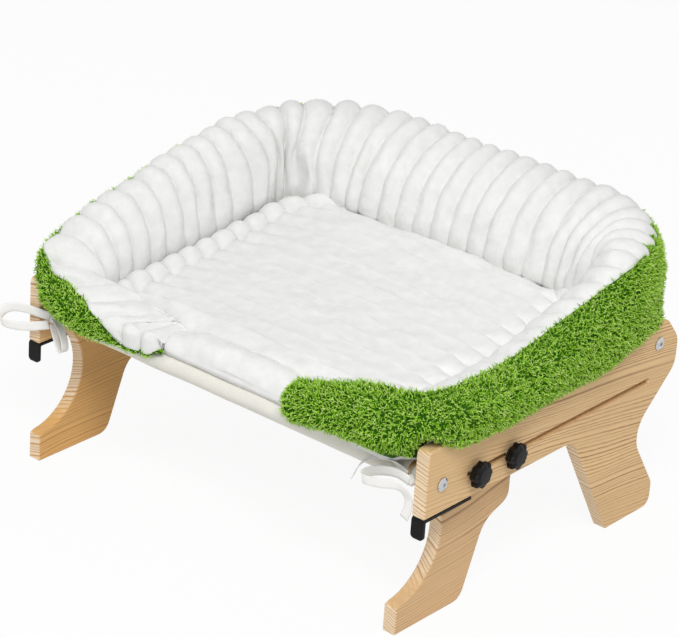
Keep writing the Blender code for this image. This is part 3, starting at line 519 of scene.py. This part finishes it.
# Reaches to either side of the middle line and the crest's lean, at the front, the sides and the back
INNER, OUTER, LEAN = (34.0, 36.0, 56.0), (33.0, 33.0, 43.0), (2.0, 10.0, 30.0)
BACK_BULGE, BACK_UPRIGHT = 5.0, 11.0      # the back corners reach further out; the right one leans less
SWELL, SWELL_LEFT, SWELL_FRONT = 1.1, 0.2, 0.72     # powers that shape a section's height
EQUATOR = 0.5 ** SWELL                    # share of the height at angle 0
HEART = 0.45                              # share of the height that the right tip shrinks towards
TIP_ROUND, TIP_SHRINK, TIP_SLANT, TIP_SLANT_ENDS = 8.0, 0.8, 18.0, 60.0     # the right tip
LEFT_SPREAD, LEFT_SKEW = 6.5, 0.9         # the left front lies wide, its ribs slanted back
LEFT_FLAT_FROM, LEFT_FLAT_FADES = 105.0, 70.0
UNDER_ANGLE, LOW_FROM, LOW_FULL = -84.0, 95.0, 180.0        # the inner wall's low part
LIP_FOOT, LIP_TURN, LIP_OUT = -56.0, -40.0, 3.4     # the fold that hangs over a panel's edge
LIP_CORNER, LIP_GROWS, LIP_REACH = 0.55, 22.0, 42.0
PANEL_CLEAR = 0.9

# Where the underside rises onto a leg's head, a panel and the back, and over how far
OVER_LEG, OVER_PANEL_FRONT, OVER_PANEL = (213.7, 10.0), (240.5, 6.0), (227.5, 12.0)
OVER_BACK, BACK_SINKS = (385.0, 20.0), 10.0

RIB_PROUD, RIB_UNEVEN, RIB_SUNK, RIB_JITTER, RIB_GREEN = 3.0, 0.8, 7.5, 0.075, (-0.6, 1.0)
RIB_SHARES = (0.0, 0.035, 0.11, 0.25, 0.42, 0.58, 0.75, 0.89, 0.965)
SCALLOP_RIGHT, SCALLOP, SCALLOP_SIDE, SCALLOP_BACK = 0.5, 3.0, 4.0, 450.0       # of the seam, in degrees
CALM_ANGLE, CALM_UNTIL = 50.0, 420.0      # on the right the relief starts gently beyond the seam
GREEN_ROWS, WHITE_ROWS = 30, 36
HELD_LOW, HELD_INNER, BARE_ROWS = 12, 7, 8          # rows that the simulation holds, rows without pile
STRETCHES = (BOLSTER_X - FRONT_BEND - ENTRANCE / 2, FRONT_BEND * math.pi / 2,
             BOLSTER_BACK - BOLSTER_FRONT - FRONT_BEND - BACK_BEND, BACK_BEND * math.pi / 2,
             BOLSTER_X - BACK_BEND)
BOLSTER_LENGTH = 2 * sum(STRETCHES)
RIBS = round(BOLSTER_LENGTH / RIB_PITCH)
FAN_T = STRETCHES[0] + STRETCHES[1] + STRETCHES[2] + 54.0     # the ribs gather at this inner corner
FAN_REACH, FAN_PULL, FAN_SHARPEN, FAN_NARROW, FAN_ENDS = 40.0, 26.0, 17.0, 19.0, 150.0

# Profiles read off the photograph: (distance along the bolster from a front end, value)
CREST_RIGHT = ((0, 204), (15, 209), (51, 221), (87, 233), (110, 239), (173, 242), (201, 241), (263, 245),
               (311, 258), (354, 270), (397, 286), (431, 299), (470, 303))
CREST_LEFT = ((0, 184), (12, 188), (60, 191), (100, 197), (141, 211), (160, 229), (176, 242), (201, 251),
              (240, 261), (290, 275), (340, 288), (400, 299), (470, 303))
SEAM_LEFT = ((0, -78), (14, -74), (26, -62), (50, -32), (75, 26), (100, 74), (124, 80), (142, 60),
             (156, 36), (185, 32), (215, 42), (260, 47), (600, 47))
SEAM_RIGHT = ((0, 92), (270, 92), (350, 82), (400, 70), (450, 58), (500, 49), (600, 47))
OUTER_LEFT = ((0, 1), (20, 6), (60, 13), (100, 23), (141, 33), (185, 38))
DROOP_LEFT = ((0, 3), (15, 10), (95, 11), (135, 0))
# Height of the overhang's lower edge: (y at the panel, height)
HANG = ((0, 195), (60, 192), (105, 191), (173, 193), (250, 194), (289, 202), (327, 208), (366, 217),
        (380, 222))


def panel_top(y):
    """Height of a panel's upper edge at y."""
    climb = (REAR_TOP - BEAM_TOP) * (y - RISE_START) / (REAR_TOP_Y - RISE_START)
    return BEAM_TOP + max(0.0, min(climb, REAR_TOP - BEAM_TOP))


def cloth_top(y):
    """Height of the hammock cloth's upper side at y."""
    share = min(1.0, max(0.0, (y - FRONT_BAR[0]) / (REAR_BAR[0] - FRONT_BAR[0])))
    straight = mix(FRONT_BAR[1] + SLEEVE_R, REAR_BAR[1] + SLEEVE_R, share)
    return straight - CLOTH_SAG * math.sin(math.pi * share)


def carrier(x, y):
    """Height of what carries the cushion: the cloth, the front legs' heads or a panel."""
    inside = cloth_top(y)
    inside = mix(inside, max(inside, LEG_HEAD_TOP), ease((abs(x) - OVER_LEG[0]) / OVER_LEG[1]))
    back = ease(y / 40)
    start, reach = (mix(a, b, back) for a, b in zip(OVER_PANEL_FRONT, OVER_PANEL))
    height = mix(inside, max(inside, panel_top(y)), ease((abs(x) - start) / reach))
    return mix(height, REAR_BAR[1] + SLEEVE_R - BACK_SINKS, ease((y - OVER_BACK[0]) / OVER_BACK[1]))


def path_place(t):
    """Middle line at the distance t from a front end: point, outward way, side and back shares."""
    part, left = 0, t
    while part < 4 and left > STRETCHES[part]:
        left -= STRETCHES[part]
        part += 1
    share = left / STRETCHES[part]
    if part == 0:
        return (ENTRANCE / 2 + left, BOLSTER_FRONT), (0.0, -1.0), 0.0, 0.0
    if part == 2:
        return (BOLSTER_X, BOLSTER_FRONT + FRONT_BEND + left), (1.0, 0.0), 1.0, 0.0
    if part == 4:
        return (BOLSTER_X - BACK_BEND - left, BOLSTER_BACK), (0.0, 1.0), 1.0, 1.0
    if part == 1:
        bend, y, shares = FRONT_BEND, BOLSTER_FRONT + FRONT_BEND, (ease(share), 0.0)
        turn = math.radians(90 * share - 90)
    else:
        bend, y, shares = BACK_BEND, BOLSTER_BACK - BACK_BEND, (1.0, ease(share))
        turn = math.radians(90 * share)
    out = (math.cos(turn), math.sin(turn))
    return (BOLSTER_X - bend + bend * out[0], y + bend * out[1]), out, *shares


def groove(share):
    """1 at the seam between two ribs, 0 in the middle of a rib."""
    return 1 - math.sqrt(max(0.0, 1 - (2 * share - 1) ** 2))


def seam_angle(t, left, share):
    """Where white meets green; the white comes further out on each rib than in the grooves."""
    scallop = SCALLOP + SCALLOP_SIDE * ease((t - 140) / 40) if left or t > SCALLOP_BACK else SCALLOP_RIGHT
    return along(SEAM_LEFT if left else SEAM_RIGHT, t) + scallop * math.cos(2 * math.pi * share)


def lip_share(t, edge):
    """How much of the overhang there is: none in front, all along a panel, none far from its edge."""
    corner = STRETCHES[0] + STRETCHES[1] * LIP_CORNER
    return ease((t - corner) / LIP_GROWS) * (1 - ease((edge - LIP_REACH) / LIP_GROWS))


def fanned(t, low):
    """Where a point of the inner wall lies along the bolster, drawn to the corner when low."""
    away = (t - FAN_T) / FAN_REACH
    return t - low * FAN_PULL * away * math.exp(-away * away / 2)


def height_share(degrees, flat, front):
    """Height of the skin at an angle: 0 underneath, 1 at the crest."""
    swell = mix(SWELL, SWELL_LEFT, flat) if degrees > 90 else SWELL
    if degrees < 0:
        swell = mix(swell, SWELL_FRONT, ease(-degrees / 60) * front)
    return ((1 + math.sin(math.radians(degrees))) / 2) ** swell


def overhang(degrees, u, place, out, edge, outer, lean, top):
    """The skin that hangs over a panel's edge: distance from the middle line, and height."""
    (x, y), (nx, ny) = place, out
    hang = along(HANG, y + ny * edge)
    if degrees > LIP_TURN:
        equator = carrier(x + nx * outer, y + ny * outer) + SOFT_GAP
        equator += (top - equator) * EQUATOR
        wide = outer + lean * EQUATOR + 1.0
        turn = math.radians((degrees - LIP_TURN) / -LIP_TURN * 90)
        return mix(edge + LIP_OUT, wide, math.sin(turn)), mix(hang, equator, 1 - math.cos(turn))
    if degrees > LIP_FOOT:
        share = (degrees - LIP_FOOT) / (LIP_TURN - LIP_FOOT)
        rest = panel_top(y + ny * edge) + SOFT_GAP
        return edge + LIP_OUT * share * share, mix(rest, hang, math.sin(share * math.pi / 2))
    u = mix(u, edge, ease((degrees - UNDER_ANGLE) / (LIP_FOOT - UNDER_ANGLE)))
    return u, carrier(x + nx * u, y + ny * u) + SOFT_GAP


def section(t, left, angles, seam, pull_white, pull_green):
    """The bolster's skin at t, a point for each angle; the pulls say how far it is drawn in there."""
    rim, rim_out, to_side, to_back = path_place(t)
    inner_reach, outer, lean = (mix(mix(v[0], v[1], to_side), v[2], to_back) for v in (INNER, OUTER, LEAN))
    top = along(CREST_LEFT if left else CREST_RIGHT, t)
    droop = along(DROOP_LEFT, t) if left else 0.0
    flat = 1 - ease((t - LEFT_FLAT_FROM) / LEFT_FLAT_FADES) if left else 0.0
    if left:
        outer = min(outer, along(OUTER_LEFT, t))
    outer += BACK_BULGE * math.sin(math.pi * to_back)
    if not left:
        lean -= BACK_UPRIGHT * math.sin(math.pi * to_back)
    (x, y), (nx, ny) = rim, rim_out
    rounded = t < TIP_ROUND and not left
    shrink = max(TIP_SHRINK, math.sqrt(1 - (1 - t / TIP_ROUND) ** 2)) if rounded else 1.0
    edge = min((HALF + PANEL_CLEAR - x) / nx if nx > 0.2 else 1e3,
               (y + PANEL_CLEAR) / -ny if ny < -0.2 else 1e3)
    lip = lip_share(t, edge)
    front = 0.0 if left else 1 - to_side
    seam_u = outer * math.cos(math.radians(seam))
    points = []
    for degrees in angles:
        a = math.radians(degrees)
        high = height_share(degrees, flat, front)
        low = ease((degrees - LOW_FROM) / (LOW_FULL - LOW_FROM))
        pull = pull_green
        if degrees > seam:
            calm = 1.0 if left or t > CALM_UNTIL else ease((degrees - seam) / CALM_ANGLE)
            pull = pull_white * calm * mix(1, 0.45, flat * ease((degrees - 60) / 60))
        pull *= math.sin(math.pi / 2 * min(1.0, (high + 0.12) / 0.9))
        pull *= 1 - 0.8 * flat * low
        (x, y), (nx, ny), inner = rim, rim_out, inner_reach + LEFT_SPREAD * flat
        if low > 0 and abs(t - FAN_T) < FAN_ENDS:
            moved = fanned(t, low)
            (x, y), (nx, ny) = path_place(moved)[:2]
            inner -= low * FAN_SHARPEN * math.exp(-((moved - FAN_T) / FAN_NARROW) ** 2)
        across = math.cos(a)
        if degrees > 180:
            across = -abs(across) ** 0.55 * (1 if across < 0 else -1)
        u = ((inner if across < 0 else outer) - pull) * across * shrink + lean * high
        if flat > 0 and degrees > seam:
            skew = flat * ease(t / 70) * LEFT_SKEW * max(0.0, seam_u - u)
            (x, y), (nx, ny) = path_place(max(0.0, t - skew))[:2]
        px, py = x + nx * u, y + ny * u
        base = carrier(px, py) + SOFT_GAP
        z = base + (top - pull * max(0.0, math.sin(a)) - base) * high
        if lip > 0 and degrees < 0:
            lip_u, lip_z = overhang(degrees, u, (x, y), (nx, ny), edge, outer, lean, top)
            px, py, z = mix(px, x + nx * lip_u, lip), mix(py, y + ny * lip_u, lip), mix(z, lip_z, lip)
        if degrees < 90:
            z -= droop * ease((0.5 - high) / 0.4) * ease((11 - py) / 4)
        middle = base + (top - base) * HEART
        if t < TIP_SLANT_ENDS and not left:
            px += TIP_SLANT * (1.0 - high) * (1 - ease(t / TIP_SLANT_ENDS))
        points.append((-px if left else px, py, middle + (z - middle) * shrink))
    return points


def bolster_angles(seam):
    """Angles of the green rows, then of the white ones; they share the seam."""
    low = np.concatenate((np.linspace(UNDER_ANGLE, LIP_FOOT - 2, 4), np.linspace(LIP_FOOT + 1, LIP_TURN, 6)))
    green = np.concatenate((low, np.linspace(LIP_TURN + 6, seam, GREEN_ROWS - len(low))))
    return np.concatenate((green, np.linspace(seam, 360 + UNDER_ANGLE, WHITE_ROWS)[1:]))


def bolster_grid(rng):
    """Points of the whole bolster: stations along it by rows round it."""
    jitter = rng.uniform(-RIB_JITTER, RIB_JITTER, RIBS + 1)
    jitter[0] = jitter[-1] = 0.0
    plump = rng.uniform(-1.0, 1.0, RIBS + 1)
    stations = [(i, s) for i in range(RIBS) for s in RIB_SHARES] + [(RIBS, 0.0)]
    grid = []
    for rib, share in stations:
        nudge = mix(jitter[rib], jitter[min(rib + 1, RIBS)], share)
        place = (rib + share + nudge) * BOLSTER_LENGTH / RIBS
        left = place > BOLSTER_LENGTH / 2
        t = BOLSTER_LENGTH - place if left else place
        seam = seam_angle(t, left, share)
        white = mix(-RIB_PROUD - RIB_UNEVEN * plump[rib], RIB_SUNK, groove(share))
        green = mix(*RIB_GREEN, groove(share))
        grid.append(section(t, left, bolster_angles(seam), seam, white, green))
    return np.array(grid)


# Soft surfaces

SIM_FRAMES, PRESSURE, SLACK = 20, 4.0, 0.02
BOLSTER_CAP, PAD_CAP = 7.0, 3.0           # how far the simulation may move a point


def uneven(grid, amount, size):
    """Soft pieces are never quite even: moves points along their normals by smooth noise."""
    scale = 1.0 / size
    shift = np.array([noise_at(Vector(p) * scale) for p in grid.reshape(-1, 3)]).reshape(grid.shape[:2])
    return grid + grid_normals(grid) * shift[..., None] * amount


def blurred(values, rounds):
    """Values of a grid, each mixed with its neighbours both ways."""
    for _ in range(rounds):
        padded = np.pad(values, ((1, 1), (0, 0), (0, 0)), mode="edge")
        values = (padded[:-2] + 2 * padded[1:-1] + padded[2:]) / 4
        padded = np.pad(values, ((0, 0), (1, 1), (0, 0)), mode="edge")
        values = (padded[:, :-2] + 2 * padded[:, 1:-1] + padded[:, 2:]) / 4
    return values


def puffed(grid, held, cap):
    """The grid inflated by a short cloth simulation; held says how firmly each point stays."""
    rows, count = grid.shape[:2]
    data = bpy.data.meshes.new("puff")
    data.from_pydata(to_frame(grid.reshape(-1, 3)).tolist(), [], loops_faces(rows, count))
    cloth_piece = bpy.data.objects.new("puff", data)
    SCENE.collection.objects.link(cloth_piece)
    group = cloth_piece.vertex_groups.new(name="held")
    for index, weight in enumerate(held.ravel()):
        group.add([index], float(weight), "REPLACE")
    change = cloth_piece.modifiers.new("puff", "CLOTH")
    settings = change.settings
    settings.quality = 4
    settings.mass = 0.3
    settings.tension_stiffness = settings.compression_stiffness = 15.0
    settings.shear_stiffness = 5.0
    settings.bending_stiffness = 0.3
    settings.vertex_group_mass = "held"
    settings.shrink_min = -SLACK
    settings.use_pressure = True
    settings.uniform_pressure_force = PRESSURE
    settings.effector_weights.gravity = 0.0
    change.collision_settings.use_collision = False
    change.point_cache.frame_start, change.point_cache.frame_end = 1, SIM_FRAMES
    for number in range(1, SIM_FRAMES + 1):
        SCENE.frame_set(number)
    shape = cloth_piece.evaluated_get(bpy.context.evaluated_depsgraph_get()).data
    found = np.empty(rows * count * 3)
    shape.vertices.foreach_get("co", found)
    bpy.data.objects.remove(cloth_piece, do_unlink=True)
    SCENE.frame_set(1)
    moved = found.reshape(grid.shape) / MM - np.array((0, FRONT_Y / MM, 0)) - grid
    moved = blurred(moved, 2) * (1 - held[..., None])
    length = np.linalg.norm(moved, axis=2, keepdims=True)
    return grid + moved * np.minimum(1.0, cap / np.maximum(length, 1e-9))


def scatter(grid, spacing, rng):
    """Random points on a grid's cells, about one for each square of the spacing, with normals."""
    normals = grid_normals(grid)
    a, b, c, d = grid[:-1, :-1], grid[1:, :-1], grid[1:, 1:], grid[:-1, 1:]
    area = np.linalg.norm(np.cross(c - a, d - b), axis=2) / 2
    wanted = area / spacing ** 2
    count = np.floor(wanted + rng.random(wanted.shape)).astype(int).ravel()
    cell = np.repeat(np.arange(count.size), count)
    i, k = np.unravel_index(cell, area.shape)
    s, r = rng.random(cell.size)[:, None], rng.random(cell.size)[:, None]

    def at(values):
        near = values[i, k] * (1 - s) + values[i + 1, k] * s
        return near * (1 - r) + (values[i, k + 1] * (1 - s) + values[i + 1, k + 1] * s) * r
    return at(grid), unit(at(normals))


STRAND_SIDES = (0.0, 2.094, 4.189)        # a strand is three-sided
STRAND_TURN, STRAND_ROOT = 5.4, 0.8       # how far it winds, in radians, and how deep it starts


def pile(name, roots, normals, length, width, material, rng, rings, curl, lean, fall):
    """Curled tapering strands, rooted in a soft piece."""
    n = len(roots)
    aim = unit(normals + rng.normal(size=(n, 3)) * lean + np.array((0, 0, -fall)))
    side = unit(np.cross(aim, rng.normal(size=(n, 3))))
    other = np.cross(aim, side)
    lengths = length * rng.uniform(0.7, 1.2, n)
    turn = rng.uniform(0, 2 * math.pi, n)
    tone = rng.random(n)
    points, tips = [], []
    for k in range(rings + 1):
        s = k / rings
        angle = turn + s * STRAND_TURN
        swing = curl * math.sin(math.pi / 2 * min(1.0, s * 1.6))
        centre = roots - normals * STRAND_ROOT + aim * (lengths * s * (1 - 0.25 * s))[:, None]
        centre = centre + side * (np.cos(angle) * swing)[:, None] + other * (np.sin(angle) * swing)[:, None]
        if k == rings:
            points.append(centre[:, None])
            tips.append(np.full((n, 1), 1.0))
            continue
        reach = width / 2 * (1 - 0.5 * s)
        ring = [centre + (side * math.cos(b) + other * math.sin(b)) * reach for b in STRAND_SIDES]
        points.append(np.stack(ring, axis=1))
        tips.append(np.full((n, 3), s))
    points = np.concatenate(points, axis=1)
    tips = np.concatenate(tips, axis=1)
    per = points.shape[1]
    quads = np.array([(3 * k + j, 3 * k + (j + 1) % 3, 3 * k + 3 + (j + 1) % 3, 3 * k + 3 + j)
                      for k in range(rings - 1) for j in range(3)])
    top = 3 * (rings - 1)
    threes = np.array([(top + j, top + (j + 1) % 3, per - 1) for j in range(3)])
    offsets = np.arange(n)[:, None] * per
    faces = (quads[None] + offsets[:, :, None]).reshape(-1, 4).tolist()
    faces += (threes[None] + offsets[:, :, None]).reshape(-1, 3).tolist()
    piece = mesh_piece(name, points.reshape(-1, 3), faces, material)
    for label, values in (("tip", tips.ravel()), ("tone", np.repeat(tone, per))):
        attribute = piece.data.attributes.new(label, "FLOAT", "POINT")
        attribute.data.foreach_set("value", values.astype(np.float32))


def closed_half(name, grid, material, node):
    """One of the bolster's two cloths as a closed body; its back wall joins seam and underside."""
    joint = (grid[:, 0] + grid[:, -1]) / 2
    heart = grid.mean(axis=1)
    wall = joint + unit(heart - joint) * SOFT_GAP
    loops = np.concatenate((grid, wall[:, None]), axis=1)
    piece = mesh_piece(name, loops.reshape(-1, 3), loops_faces(*loops.shape[:2]), material)
    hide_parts(node)


def make_bolster(rng):
    grid = bolster_grid(rng)
    held = np.zeros(grid.shape[:2])
    held[::len(RIB_SHARES)] = 1.0
    held[:, :HELD_LOW] = 1.0
    held[:, GREEN_ROWS - 2:GREEN_ROWS + 1] = 1.0
    held[:, -HELD_INNER:] = 1.0
    grid = puffed(grid, held, BOLSTER_CAP)
    grid = uneven(uneven(grid, 2.2, 55.0), 0.8, 15.0)
    green, white = grid[:, :GREEN_ROWS], grid[:, GREEN_ROWS - 1:]
    closed_half("bolster_white", white, WHITE, "bolster_white_plush")
    closed_half("bolster_green", green, GREEN_GROUND_SHADED, "bolster_green_plush")
    roots, normals = scatter(green[:, BARE_ROWS:], 1.9, rng)
    pile("green_pile", roots, normals, 8.4, 1.25, GREEN_PILE, rng,
         rings=3, curl=1.1, lean=0.6, fall=0.1)
    roots, normals = scatter(white[:, :-BARE_ROWS], 3.6, rng)
    pile("white_nap", roots, normals, 2.6, 1.1, WHITE_NAP, rng,
         rings=2, curl=0.4, lean=0.7, fall=0.2)


# Seat pad: a front roll in the entrance, then channels from side to side with puffs at their ends

PAD_STEP = BOLSTER_FRONT + INNER[0] + SOFT_GAP      # behind the bolster's front ends
PAD_HALF, PUFF_WIDTH, PUFF_RISE = 205.5, 27.0, 6.0
STITCHED = 1 - PUFF_WIDTH / PAD_HALF                # the stitched line that the puffs start at
PAD_SHOULDER = 26.0                                 # the pad rises over this behind the front ends
PAD_LOW, ROLL_LOW, PUFF_LOW = 0.62, 0.66, 0.72      # shares of the thickness at the edges of each
GROOVE_MIDDLE, GROOVE_SIDE, GROOVE_DEEPENS = 1.5, 10.0, 0.16
PAD_CREASE, PAD_STITCH = 3.0, 4.5                   # depths at the step and along the stitched line
PAD_SPLIT = 0.3                                     # each part ends this far from the step


def inner_edge(middle, inner, lean):
    """Where the bolster's inner side ends, measured as its middle line is."""
    return middle - inner + lean * EQUATOR - SOFT_GAP


def pad_half_width(y):
    """Half width of the pad: it fills the plan inside the bolster."""
    edge = inner_edge(BOLSTER_X, INNER[1], LEAN[1])
    corner = BOLSTER_X - edge - INNER[0] + FRONT_BEND / 2
    if y < PAD_STEP:
        return ENTRANCE / 2 + 1.5
    if y < PAD_STEP + corner:
        return edge - corner + math.sqrt(corner ** 2 - (PAD_STEP + corner - y) ** 2)
    back_edge = inner_edge(BOLSTER_BACK, INNER[2], LEAN[2])
    bend = BACK_BEND - INNER[2] + LEAN[2] / 2
    if y > back_edge - bend:
        share = min(1.0, (y - back_edge + bend) / bend)
        return edge - bend + bend * math.sqrt(max(0.0, 1 - share * share))
    return edge


def pad_loop(y, share, back, across, wave):
    """The pad's skin at y, once round, and how firmly its points are held.

    share is the place in a channel, and across the places from side to side, from -1 to 1.
    """
    half = pad_half_width(y)
    behind = y > PAD_STEP
    swell = math.sqrt(1 - (1 - min(1.0, (y - PAD_FRONT + 1) / PAD_ROUND)) ** 2)
    swell = min(swell, mix(PAD_EDGE, 1, min(1.0, (back - y) / PAD_ROUND)))
    under = cloth_top(y) + GAP
    lower = [(half * a, y, under) for a in across[::6]]
    upper, grip = [], [1.0] * len(lower)
    for a in across[::-1]:
        out = abs(a)
        puff = min(1.0, max(0.0, (out - STITCHED) / (1 - STITCHED))) if behind else 0.0
        deeper = ease((out - STITCHED + GROOVE_DEEPENS) / GROOVE_DEEPENS) if behind else 0.2
        high = PAD_THICK - mix(GROOVE_MIDDLE, GROOVE_SIDE, deeper) * groove(share)
        high = high + PAD_CROWN * (1 - a * a) + PUFF_RISE * math.sin(math.pi * puff)
        high -= PAD_CREASE * math.exp(-abs(y - PAD_STEP) / 2.5)
        if behind:
            high -= PAD_STITCH * math.exp(-((out - STITCHED) * 55) ** 2)
            rising = mix(PAD_LOW, 1, ease((y - PAD_STEP) / PAD_SHOULDER))
            high *= mix(1, rising, ease((half * out - ENTRANCE / 2 + 40) / 40))
        else:
            high *= mix(1, ROLL_LOW, ease((out - 0.55) / 0.45))
        high *= mix(1, PUFF_LOW, puff ** 6)
        drift = 2.6 * math.sin(4 * a + wave[0]) + 1.5 * math.sin(9 * a + wave[1] + y / 40)
        drift *= (1 - out) * swell * ease(abs(y - PAD_STEP) / 20)
        upper.append((half * a, y + drift, under + high * swell))
        firm = share == 0 or abs(out - STITCHED) < 1e-6 or out > 0.995 or y < PAD_FRONT + 3
        grip.append(1.0 if firm else 0.0)
    return lower + upper, grip


def make_pad(rng):
    """The roll and the channelled part are a closed skin each, in one mesh."""
    back = inner_edge(BOLSTER_BACK, INNER[2], LEAN[2])
    across = np.concatenate((np.linspace(-1, -STITCHED, 9)[:-1], np.linspace(-STITCHED, STITCHED, 71),
                             np.linspace(STITCHED, 1, 9)[1:]))
    wave = rng.uniform(0, 2 * math.pi, 2)
    points, faces = [], []
    for first, last in ((PAD_FRONT, PAD_STEP - PAD_SPLIT), (PAD_STEP + PAD_SPLIT, back)):
        channels = round((last - first) / RIB_PITCH)
        pitch = (last - first) / channels
        places = [(first + (i + s) * pitch, s) for i in range(channels) for s in RIB_SHARES] + [(last, 0.0)]
        loops, grips = zip(*(pad_loop(y, s, back, across, wave) for y, s in places))
        rows = np.array(loops)
        rows = puffed(rows, np.array(grips), PAD_CAP)
        rows = uneven(uneven(rows, 1.8, 42.0), 0.8, 15.0)
        offset = sum(len(p) for p in points)
        points.append(rows.reshape(-1, 3))
        faces += [tuple(offset + v for v in face) for face in loops_faces(*rows.shape[:2])]
    piece = mesh_piece("seat_pad_plush", np.concatenate(points), faces, WHITE)
    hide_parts("seat_pad")


# Hammock cloth

CLOTH_FOLD, CLOTH_HALF_THICK = 1.6, 0.3
CLOTH_UNDER, FLAP_UNDER = 0.5, 1.6        # the cloth's middle, and the sleeves' sewn flaps, below its top


def flat_run(first, last, count, under):
    """Points (y, z) of the cloth between the bars."""
    return [(y, cloth_top(y) - under) for y in np.linspace(first, last, count)]


def sleeve_run(bar, angles):
    """Points (y, z) of the cloth round a bar."""
    reach = SLEEVE_R - CLOTH_UNDER
    turns = [math.radians(degrees) for degrees in angles]
    return [(bar[0] + reach * math.cos(a), bar[1] + reach * math.sin(a)) for a in turns]


def make_hammock():
    """One strip of cloth: from the front seam round the front bar, over to and round the rear bar."""
    front, rear = FRONT_BAR[0], REAR_BAR[0]
    line = np.array(flat_run(front + SLEEVE_SEAM, front + 5, 6, FLAP_UNDER)
                    + sleeve_run(FRONT_BAR, range(300, 91, -12))
                    + flat_run(front + 4, rear - 4, 40, CLOTH_UNDER)
                    + sleeve_run(REAR_BAR, range(84, -121, -12))
                    + flat_run(rear - 5, rear - SLEEVE_SEAM, 6, FLAP_UNDER))
    across = np.linspace(-CLOTH_HALF, CLOTH_HALF, 92)
    way = unit(np.gradient(line, axis=0))
    normal = np.stack((-way[:, 1], way[:, 0]), axis=1)
    steps = np.linalg.norm(np.diff(line, axis=0), axis=1)
    rows = []
    for (y, z), (ny, nz), at in zip(line, normal, np.concatenate(([0.0], np.cumsum(steps)))):
        folds = [CLOTH_FOLD * max(0.0, noise_at(Vector((x / 70, at / 9, 3.1)))) for x in across]
        upper = [(x, y - ny * (CLOTH_HALF_THICK - f), z - nz * (CLOTH_HALF_THICK - f))
                 for x, f in zip(across, folds)]
        lower = [(x, y + ny * (CLOTH_HALF_THICK + f), z + nz * (CLOTH_HALF_THICK + f))
                 for x, f in zip(across[::-1], folds[::-1])]
        rows.append(upper + lower)
    rows = np.array(rows)
    piece = mesh_piece("hammock_fabric", rows.reshape(-1, 3), loops_faces(*rows.shape[:2]), CANVAS)
    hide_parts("hammock_cloth")


# Light and floor

WHITE_LIGHT = (1.0, 1.0, 1.0, 1.0)
LIT_WORLD, SEEN_WORLD = 0.46, 1.02        # the world's strength for light, and as a background
FLOOR_GLOW, FLOOR_REACH = 0.92, 6.0       # share of the floor that is plain white where it is seen


def light(name, place, size, energy):
    data = bpy.data.lights.new(name, "AREA")
    data.energy, data.size = energy, size
    lamp = bpy.data.objects.new(name, data)
    lamp.location = place
    lamp.rotation_euler = (Vector((0, 0, 0.15)) - Vector(place)).to_track_quat("-Z", "Y").to_euler()
    SCENE.collection.objects.link(lamp)


def seen_ray(tree):
    """1 for rays from the camera and in mirrors and glass, which see a white background."""
    rays = make(tree, "LightPath").outputs
    clear = math_node(tree, "MAXIMUM", rays["Is Glossy Ray"], rays["Is Transmission Ray"])
    return math_node(tree, "MAXIMUM", rays["Is Camera Ray"], clear)


def make_studio():
    world = bpy.data.worlds.new("studio")
    world.use_nodes = True
    tree = world.node_tree
    strength = remap(tree, seen_ray(tree), 0.0, 1.0, LIT_WORLD, SEEN_WORLD)
    tree.links.new(strength, tree.nodes["Background"].inputs["Strength"])
    tree.nodes["Background"].inputs["Color"].default_value = WHITE_LIGHT
    SCENE.world = world
    light("key_light", (1.7, -1.8, 3.2), 1.5, 96.0)
    light("fill_light", (-2.4, -1.8, 1.6), 2.0, 14.0)
    data = bpy.data.meshes.new("floor")
    corners = [(x * FLOOR_REACH, y * FLOOR_REACH, 0) for x, y in ((-1, -1), (1, -1), (1, 1), (-1, 1))]
    data.from_pydata(corners, [], [(0, 1, 2, 3)])
    floor = bpy.data.objects.new("floor", data)
    SCENE.collection.objects.link(floor)
    material, tree, shader, _ = paint("pale_floor", 0.9, specular=0.0, colour=(0.86, 0.86, 0.86, 1.0))
    glow = make(tree, "Emission", {"Color": WHITE_LIGHT, "Strength": 1.0}).outputs[0]
    share = times(tree, seen_ray(tree), FLOOR_GLOW)
    blended = make(tree, "MixShader", {0: share, 1: shader.outputs[0], 2: glow}).outputs[0]
    tree.links.new(blended, tree.nodes["Material Output"].inputs["Surface"])
    data.materials.append(material)
    SCENE.view_settings.view_transform = "Standard"


make_camera()
make_ties()
dress_frame()
make_hammock()
make_pad(np.random.default_rng(3))
make_bolster(np.random.default_rng(7))
make_studio()
